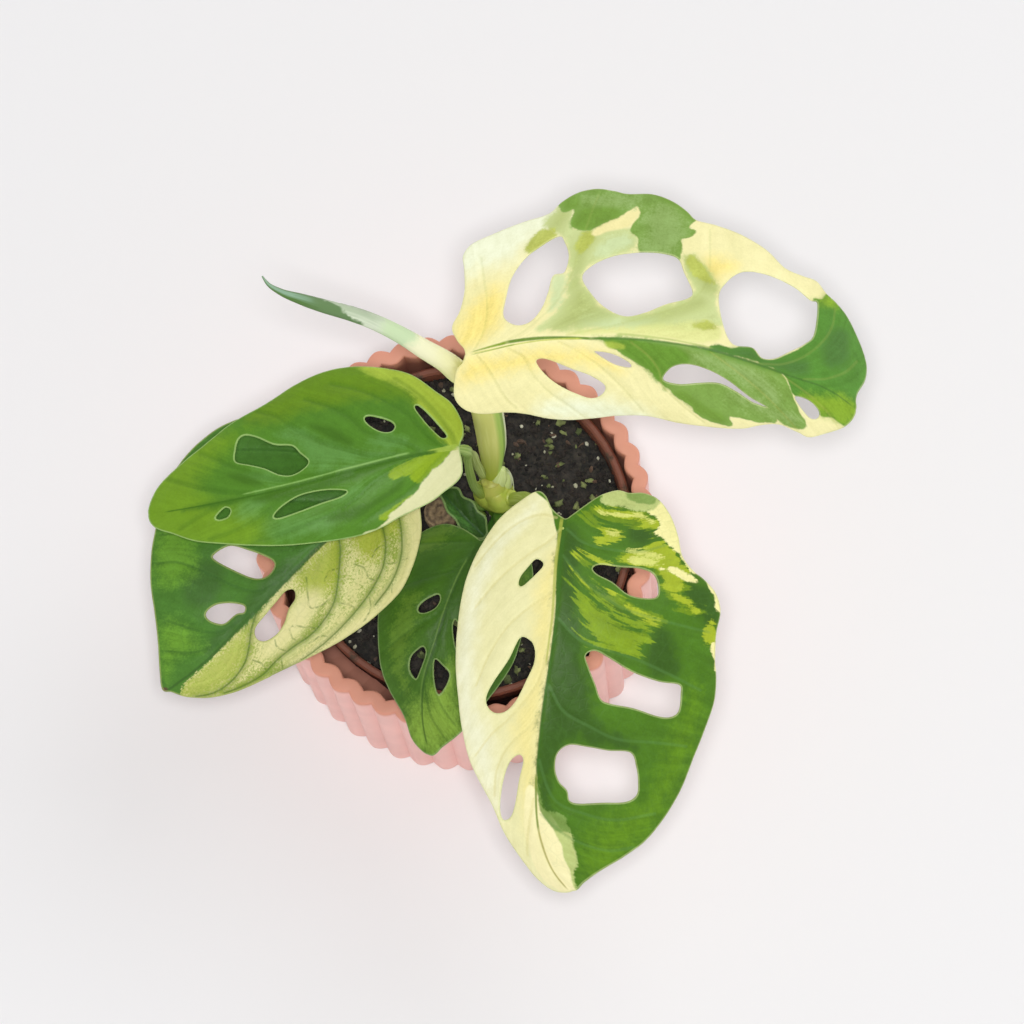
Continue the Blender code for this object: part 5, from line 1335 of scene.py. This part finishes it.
def spear_finish():
    """New leaf still in its roll: tender skin without wax, so it has a faint satin shine. The end that
    will be green is green already, and the cream part shows through the rest."""
    skin = Finish("rolled_young_leaf")
    place = skin.read("round", "Vector")
    top, back, run = skin.split(place)
    # Borders between the colours wander over about 4 mm, and fine streaks run along the roll.
    wander = skin.noise(skin.spot(), 260.0, 3.0)
    streak = skin.noise(skin.times(place, (2.5, 2.5, 0.06)), 1.6, 3.0)

    def part(value, first, last, by, amount, low=0.0, high=1.0):
        return skin.ramp(skin.moved(value, by, amount), first, last, low, high)

    def both(a, b):
        return skin.maths("MULTIPLY", a, b)

    # Green reaches 12 mm further down the lower side than down the upper one.
    slanted = skin.moved(run, back, -6.0)
    colour = "eae8ac"
    for code, mask in (
        ("ecebc4", part(run, 16.0, 32.0, wander, 8.0)),
        ("d3ddc4", part(run, 34.0, 48.0, wander, 10.0)),
        ("c3d8ac", both(part(run, 32.0, 37.0, wander, 8.0),
                        part(run, 42.0, 49.0, wander, 8.0, 1.0, 0.0))),
        ("adbc9e", both(part(run, 42.0, 52.0, wander, 8.0), part(back, -0.3, 0.9, streak, 1.4))),
        ("607f4e", part(slanted, 61.0, 63.5, wander, 14.0)),
        # Painted highlight: a paler blue-green strip along the top of the green end, broken up by the
        # streaks.
        ("86a78a", both(part(run, 64.0, 74.0, wander, 6.0), part(top, 1.0, 1.35, streak, 0.7))),
        ("4e7430", both(part(run, 62.0, 74.0, wander, 8.0), part(back, 0.2, -0.5, streak, 0.8))),
        ("6c7d42", part(run, 88.0, 100.0, wander, 6.0)),
    ):
        colour = skin.mix(mask, colour, code)
    return skin.done(colour, 0.45, (streak, 0.3, 0.0002), SKIN)


piece("rolled_leaf_spear", joined("rolled_leaf", [tube(SPEAR, 140, 48, UP, rolled)]), spear_finish(),
      "rolled_leaf")


def cork_finish():
    """Healed cut and bark of an old stem: dry cork, matt and cracked, with pith rings on the cut."""
    cork = Finish("dry_cork")
    spot = cork.spot()
    pith = tuple(-value * MM for value in STUMP[1][:3])
    centred = cork.node("ShaderNodeMapping", {"Vector": spot, "Location": pith})[0]
    # Rings about 1 mm apart round the pith.
    wave = {"Vector": centred, "Scale": 160.0, "Distortion": 3.0, "Detail": 3.0, "Detail Scale": 2.0}
    rings = cork.node("ShaderNodeTexWave", wave, wave_type="RINGS", rings_direction="Z")[1]
    mixed = cork.moved(cork.noise(spot, 900.0, 4.0), rings, 0.28)
    colour = cork.mix(cork.ramp(mixed, 0.35, 1.0, kind="LINEAR"), "4a3a2e", "a58c6a")
    return cork.done(colour, 0.85, (mixed, 0.6, 0.0005))


def stump():
    """Cut stem with a ringed face that dips to its pith, and wrinkled bark."""
    low, high = (np.array(row[:2]) for row in STUMP)
    foot, height = STUMP[0][2], STUMP[1][2] - STUMP[0][2]
    sides = 56
    points = []
    for radius, z in STUMP_PROFILE:
        centre = low + (high - low) * (z - foot) / height
        for j in range(sides):
            a = j * 2 * np.pi / sides
            wrinkle = noise.noise(Vector((3 * np.cos(a), 3 * np.sin(a), z / 2.5)))
            wide = radius + 0.18 * wrinkle * min(1.0, radius / 3)
            bump = noise.noise(Vector((radius * np.cos(a), radius * np.sin(a), 5.0)))
            points.append((centre[0] + wide * np.cos(a), centre[1] + wide * np.sin(a), z + 0.25 * bump))
    points += [(*low, foot), (*high, PITH_HEIGHT)]
    return smooth_mesh("cut_stump", points, tube_faces(len(STUMP_PROFILE), sides))


piece("cut_stump_cork", stump(), cork_finish(), "cut_stump")


def plain_tree(name, inputs):
    """Tree of geometry nodes with one geometry in and one out. Returns it and its named inputs."""
    tree = bpy.data.node_groups.new(name, "GeometryNodeTree")
    tree.interface.new_socket(name="Geometry", in_out="OUTPUT", socket_type="NodeSocketGeometry")
    for label, kind in {"Geometry": "Geometry", **inputs}.items():
        tree.interface.new_socket(name=label, in_out="INPUT", socket_type="NodeSocket" + kind)
    return tree, add(tree, "NodeGroupInput")


def finished(tree, surface, finish):
    """The tree, giving out this surface with its finish."""
    coated = add(tree, "GeometryNodeSetMaterial", {"Geometry": surface, "Material": finish})
    add(tree, "NodeGroupOutput", {0: coated[0]})
    return tree


def made_by(tree, guide, values):
    """Plain mesh that the tree makes of the guide object, with its named inputs set to these values."""
    step = guide.modifiers.new(tree.name, "NODES")
    step.node_group = tree
    known = {item.name: item.identifier for item in tree.interface.items_tree
             if item.item_type == "SOCKET" and item.in_out == "INPUT"}
    for label, value in values.items():
        step[known[label]] = value
    bpy.context.view_layer.update()
    graph = bpy.context.evaluated_depsgraph_get()
    mesh = bpy.data.meshes.new_from_object(guide.evaluated_get(graph), preserve_all_data_layers=True,
                                           depsgraph=graph)
    guide.modifiers.remove(step)
    bpy.data.objects.remove(guide, do_unlink=True)
    return mesh


def round_the_axis():
    """Tree that repeats one flute round the pot's axis and welds the copies into one wall."""
    tree, given = plain_tree("flutes_round_the_axis",
                             {"Flutes": "Int", "Weld": "Float", "Finish": "Material"})
    points = add(tree, "GeometryNodePoints", {"Count": given["Flutes"]})[0]
    full = add(tree, "ShaderNodeMath", {0: 2 * np.pi, 1: given["Flutes"]}, operation="DIVIDE")[0]
    index = add(tree, "GeometryNodeInputIndex")[0]
    turn = add(tree, "ShaderNodeMath", {0: index, 1: full}, operation="MULTIPLY")[0]
    rotation = add(tree, "ShaderNodeCombineXYZ", {2: turn})[0]
    copies = add(tree, "GeometryNodeInstanceOnPoints", {
        "Points": points, "Instance": given["Geometry"], "Rotation": rotation})[0]
    real = add(tree, "GeometryNodeRealizeInstances", {0: copies})[0]
    welded = add(tree, "GeometryNodeMergeByDistance", {"Geometry": real, "Distance": given["Weld"]})[0]
    return finished(tree, welded, given["Finish"])


def one_flute():
    """Wall and floor of the pot over one flute: a rounded lobe outside, and inside half a bump on each
    side of a crease."""
    wave = np.linspace(-np.pi / 2, np.pi / 2, FLUTE_STEPS + 1)
    angle = np.radians(FIRST_CREST) + wave / (POT_FLUTES / 2)
    outer = POT_CREST_RADIUS - POT_FLUTE_DEPTH * (1 - np.abs(np.cos(wave)))
    inner = POT_INNER_RADIUS + POT_INNER_DEPTH * (1 - np.abs(np.sin(wave)))
    soft = POT_SOFT_EDGE
    rings = []
    for a in np.arange(5) * np.pi / 8:
        rings.append((outer - POT_DRAFT - soft * (1 - np.sin(a)), soft * (1 - np.cos(a))))
    for z in (12, 24, 36, 48, 60, 70):
        rings.append((outer - POT_DRAFT * (1 - z / POT_HEIGHT), z))
    for a in np.arange(6) * np.pi / 10:
        rings.append((outer - soft * (1 - np.cos(a)), POT_HEIGHT - soft * (1 - np.sin(a))))
    rings.append(((outer + inner) / 2, POT_HEIGHT + 0.1))
    for a in np.arange(6) * np.pi / 10:
        rings.append((inner + soft * (1 - np.sin(a)), POT_HEIGHT - soft * (1 - np.cos(a))))
    for z in (70, 56, 42, 28, 14, POT_FLOOR + 1):
        rings.append((inner - POT_DRAFT * (1 - z / POT_HEIGHT), z))
    rings.append((inner - POT_DRAFT - 1, POT_FLOOR))
    shape = bmesh.new()
    rows = [[shape.verts.new((r * np.cos(a) * MM, r * np.sin(a) * MM, z * MM))
             for r, a in zip(radius, angle)] for radius, z in rings]
    for low, high in zip(rows, rows[1:]):
        for i in range(FLUTE_STEPS):
            shape.faces.new((low[i], low[i + 1], high[i + 1], high[i]))
    for row, z, flip in ((rows[0], 0, True), (rows[-1], POT_FLOOR, False)):
        middle = shape.verts.new((0, 0, z * MM))
        for i in range(FLUTE_STEPS):
            corners = (middle, row[i], row[i + 1])
            shape.faces.new(corners[::-1] if flip else corners)
    return mesh_of(shape, "one_flute")


def ceramic_finish():
    """Earthenware with a matt salmon glaze, dipped: chalky soft shine, a deeper salmon on the rim and
    inside, and down the outside a paler pink, painted lighter for the strong light that falls on it."""
    glaze = Finish("matt_salmon_glaze")
    spot = glaze.spot()
    flat = glaze.times(spot, (1, 1, 0))
    radius = glaze.node("ShaderNodeVectorMath", {0: flat}, operation="LENGTH")["Value"]
    cloud = glaze.noise(spot, 60.0, 3.0)
    rim = glaze.ramp(glaze.moved(glaze.split(spot)[2], cloud, 0.002), 0.0745, 0.0788)
    rim = glaze.maths("MAXIMUM", rim, glaze.ramp(radius, 0.0560, 0.0572, 1.0, 0.0))
    # Deeper salmon on the rim and inside; the paler pink of the outside is painted light.
    colour = glaze.mix(rim, "f2bcb3", "dd967f")
    shade = glaze.ramp(cloud, 0.3, 0.7, 0.94, 1.04, "LINEAR")
    colour = glaze.mix(1.0, colour, shade, "MULTIPLY")
    return glaze.done(colour, 0.55, (glaze.noise(spot, 1500.0), 0.2, 0.0001))


pot_mesh = made_by(round_the_axis(), in_scene("flute_guide", one_flute()),
                   {"Flutes": POT_FLUTES, "Weld": 0.00002, "Finish": ceramic_finish()})
pot_mesh.shade_smooth()
pot_mesh.set_sharp_from_angle(angle=0.9)
piece("cover_pot_fluted", pot_mesh, None, "cover_pot")


def plastic_finish():
    """Injection-moulded polypropylene pot: even satin brown, dulled by dust and splashes of soil."""
    plastic = Finish("brown_polypropylene")
    # Dried splashes of soil, 2 to 8 mm across.
    mask = plastic.ramp(plastic.noise(plastic.spot(), 140.0, 5.0, 0.7), 0.5, 0.66)
    colour = plastic.mix(mask, "7a4534", "4c3c30")
    return plastic.done(colour, plastic.ramp(mask, 0.0, 1.0, 0.6, 0.85, "LINEAR"), (mask, 0.4, 0.0003))


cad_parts["nursery_pot"].data.materials.clear()
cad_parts["nursery_pot"].data.materials.append(plastic_finish())


def soil_bed():
    """Plug of potting mix: crumbly uneven top and plain sides."""
    step, sides = 0.9, 300
    grid = staggered([-SOIL_RADIUS_TOP] * 2, [SOIL_RADIUS_TOP + step] * 2, step)
    grid = grid[np.linalg.norm(grid, axis=1) < SOIL_RADIUS_TOP - 0.5 * step]
    ring = np.arange(sides) * 2 * np.pi / sides
    ring = np.column_stack([np.cos(ring), np.sin(ring)]) * SOIL_RADIUS_TOP
    flat, faces = triangles(np.vstack([ring, grid]), [(i, (i + 1) % sides) for i in range(sides)], 1)
    shape = bmesh.new()

    def vert(x, y, z):
        return shape.verts.new(((x + NURSERY_X) * MM, (y + NURSERY_Y) * MM, z * MM))

    def heading(v):
        return np.arctan2(v.co.y - NURSERY_Y * MM, v.co.x - NURSERY_X * MM)

    verts = []
    for x, y in flat:
        coarse = noise.fractal(Vector((x / 11, y / 11, 0.3)), 0.8, 2.0, 3)
        crumbs = noise.noise(Vector((x / 2.4, y / 2.4, 1.0)))
        fine = noise.noise(Vector((x / 1.1, y / 1.1, 7.0)))
        fade = min(1.0, (1 - np.hypot(x, y) / SOIL_RADIUS_TOP) * 20)
        verts.append(vert(x, y, SOIL_TOP + 0.9 * coarse + (0.75 * crumbs + 0.4 * fine) * fade))
    for face in faces:
        shape.faces.new([verts[i] for i in face])
    rim = sorted((v for v in verts if v.is_boundary), key=heading)
    low = [vert(SOIL_RADIUS_FLOOR * np.cos(a), SOIL_RADIUS_FLOOR * np.sin(a), SOIL_FLOOR)
           for a in map(heading, rim)]
    middle = vert(0, 0, SOIL_FLOOR)
    for i in range(len(rim)):
        j = (i + 1) % len(rim)
        shape.faces.new((rim[i], low[i], low[j], rim[j]))
        shape.faces.new((low[i], middle, low[j]))
    bmesh.ops.recalc_face_normals(shape, faces=shape.faces)
    mesh = mesh_of(shape, "soil")
    mesh.shade_smooth()
    return mesh


def soil_finish():
    """Moist peat-based potting mix: nearly black crumbs, matt, with browner fibres."""
    peat = Finish("moist_peat_mix")
    grain = peat.noise(peat.spot(), 420.0, 5.0, 0.7)
    colour = peat.mix(peat.ramp(grain, 0.4, 0.72, kind="LINEAR"), "1b1a19", "443d37")
    return peat.done(colour, 0.9, (grain, 0.7, 0.0006))


def scattered():
    """Tree that strews lumps over the upward faces of a surface, half sunk in it."""
    tree, given = plain_tree("lumps_strewn_on_soil", {
        "Lump": "Object", "Density": "Float", "Smallest": "Float", "Largest": "Float", "Seed": "Int",
        "Finish": "Material"})

    def draw(inputs, kind, output):
        inputs = {**inputs, "Seed": given["Seed"]}
        return add(tree, "FunctionNodeRandomValue", inputs, data_type=kind)[output]

    facing = add(tree, "ShaderNodeSeparateXYZ", {0: add(tree, "GeometryNodeInputNormal")[0]})[2]
    upward = add(tree, "FunctionNodeCompare", {0: facing, 1: 0.4}, data_type="FLOAT",
                 operation="GREATER_THAN")[0]
    points = add(tree, "GeometryNodeDistributePointsOnFaces", {
        "Mesh": given["Geometry"], "Selection": upward, "Density": given["Density"],
        "Seed": given["Seed"]})[0]
    turn = draw({0: (0, 0, 0), 1: (6.28, 6.28, 6.28)}, "FLOAT_VECTOR", 0)
    size = draw({2: given["Smallest"], 3: given["Largest"]}, "FLOAT", 1)
    uneven = draw({0: (0.6, 0.6, 0.5), 1: (1.3, 1.1, 0.9)}, "FLOAT_VECTOR", 0)
    scale = add(tree, "ShaderNodeVectorMath", {0: uneven, "Scale": size}, operation="SCALE")[0]
    lump = add(tree, "GeometryNodeObjectInfo", {"Object": given["Lump"]})["Geometry"]
    copies = add(tree, "GeometryNodeInstanceOnPoints", {
        "Points": points, "Instance": lump, "Rotation": turn, "Scale": scale})[0]
    real = add(tree, "GeometryNodeRealizeInstances", {0: copies})[0]
    return finished(tree, real, given["Finish"])


def lump_mesh(name, detail, rough, stretch):
    """Irregular lump about 1 m across, to be scaled to its real size."""
    shape = bmesh.new()
    bmesh.ops.create_icosphere(shape, subdivisions=detail, radius=0.5)
    for vert in shape.verts:
        vert.co *= 1 + rough * noise.noise(vert.co * 3.1 + Vector((stretch, 0, 0)))
        vert.co.x *= stretch
    return mesh_of(shape, name)


def grain_finish(name, code, other, roughness):
    """Loose grain in the mix: matt, each grain a little lighter or darker than the next."""
    grain = Finish(name)
    patch = grain.noise(grain.spot(), 260.0, 4.0)
    colour = grain.mix(grain.ramp(patch, 0.35, 0.65, kind="LINEAR"), code, other)
    return grain.done(colour, roughness)


# What is strewn on the soil: name, how finely each lump is divided, how rough and how stretched it is,
# how many lie on a square metre, smallest and largest size in mm, seed, and finish.
bed_mesh = soil_bed()
strew = scattered()
for label, detail, rough, stretch, density, smallest, largest, seed, finish in (
    ("peat_crumbs", 1, 0.5, 1.2, 330000.0, 0.8, 2.2, 3,
     grain_finish("peat_crumb", "1a1817", "352d28", 0.9)),
    ("perlite_grains", 1, 0.4, 1.1, 21000.0, 0.6, 1.7, 5,
     grain_finish("perlite", "cbc8b4", "a5a288", 0.8)),
    ("bark_chips", 1, 0.5, 2.0, 16000.0, 1.0, 2.4, 8,
     grain_finish("pine_bark_chip", "6b5344", "453830", 0.85)),
    ("moss_tufts", 2, 0.9, 1.3, 26000.0, 0.8, 3.2, 13,
     grain_finish("green_moss", "8f9760", "4e5834", 0.95)),
):
    lump = in_scene(label + "_lump", lump_mesh(label + "_lump", detail, rough, stretch))
    bpy.context.view_layer.update()
    mesh = made_by(strew, in_scene(label + "_guide", bed_mesh.copy()), {
        "Lump": lump, "Density": density, "Smallest": smallest * MM, "Largest": largest * MM,
        "Seed": seed, "Finish": finish})
    bpy.data.objects.remove(lump, do_unlink=True)
    mesh.shade_flat() if detail == 1 else mesh.shade_smooth()
    piece(label, mesh, None)
piece("soil_bed", bed_mesh, soil_finish(), "soil")

# Stage: plain pale floor, soft light from all round, a wide weak lamp from the upper right and a small
# soft box overhead.
floor_mesh = bpy.data.meshes.new("floor")
floor_mesh.from_pydata([(-2, -2, 0), (2, -2, 0), (2, 2, 0), (-2, 2, 0)], [], [(0, 1, 2, 3)])
floor = in_scene("floor", floor_mesh)
floor_mesh.materials.append(Finish("matt_white_floor").done(paint("f0eff0"), 0.8))

world = bpy.data.worlds.new("soft_sky")
world.use_nodes = True
sky = world.node_tree
upwards = add(sky, "ShaderNodeSeparateXYZ", {0: add(sky, "ShaderNodeTexCoord")["Generated"]})[2]
glow = add(sky, "ShaderNodeMapRange", {0: upwards, 1: 0.0, 2: 1.0, 3: 1.15, 4: 0.13})[0]
feed(sky, sky.nodes["Background"], {"Strength": glow, "Color": (1, 1, 1, 1)})
bpy.context.scene.world = world

for name, size, power, place, aim in (
    ("window", 2.2, 18.0, (1.3, 1.2, 2.6), (0, 0, 0.1)),
    ("overhead_softbox", 0.18, 17.0, (0.098, -0.39, 1.92), (0.017, 0.005, 0.078)),
):
    light = bpy.data.lights.new(name, "AREA")
    light.shape = "DISK"
    light.size = size
    light.energy = power
    lamp = in_scene(name, light)
    lamp.location = place
    lamp.rotation_euler = (Vector(aim) - lamp.location).to_track_quat("-Z", "Y").to_euler()

camera_data = bpy.data.cameras.new("camera")
camera_data.lens = 210.94
camera_data.sensor_width = 36.0
camera_data.clip_end = 10.0
camera = in_scene("camera", camera_data)
camera.matrix_world = Matrix((
    (0.99909506, 0.00021036, 0.04253249, 0.093284), (0.00881035, 0.97727549, -0.21179000, -0.374142),
    (-0.04161052, 0.21197307, 0.97638926, 1.827641), (0, 0, 0, 1)))
bpy.context.scene.camera = camera
bpy.context.scene.view_settings.view_transform = "Standard"
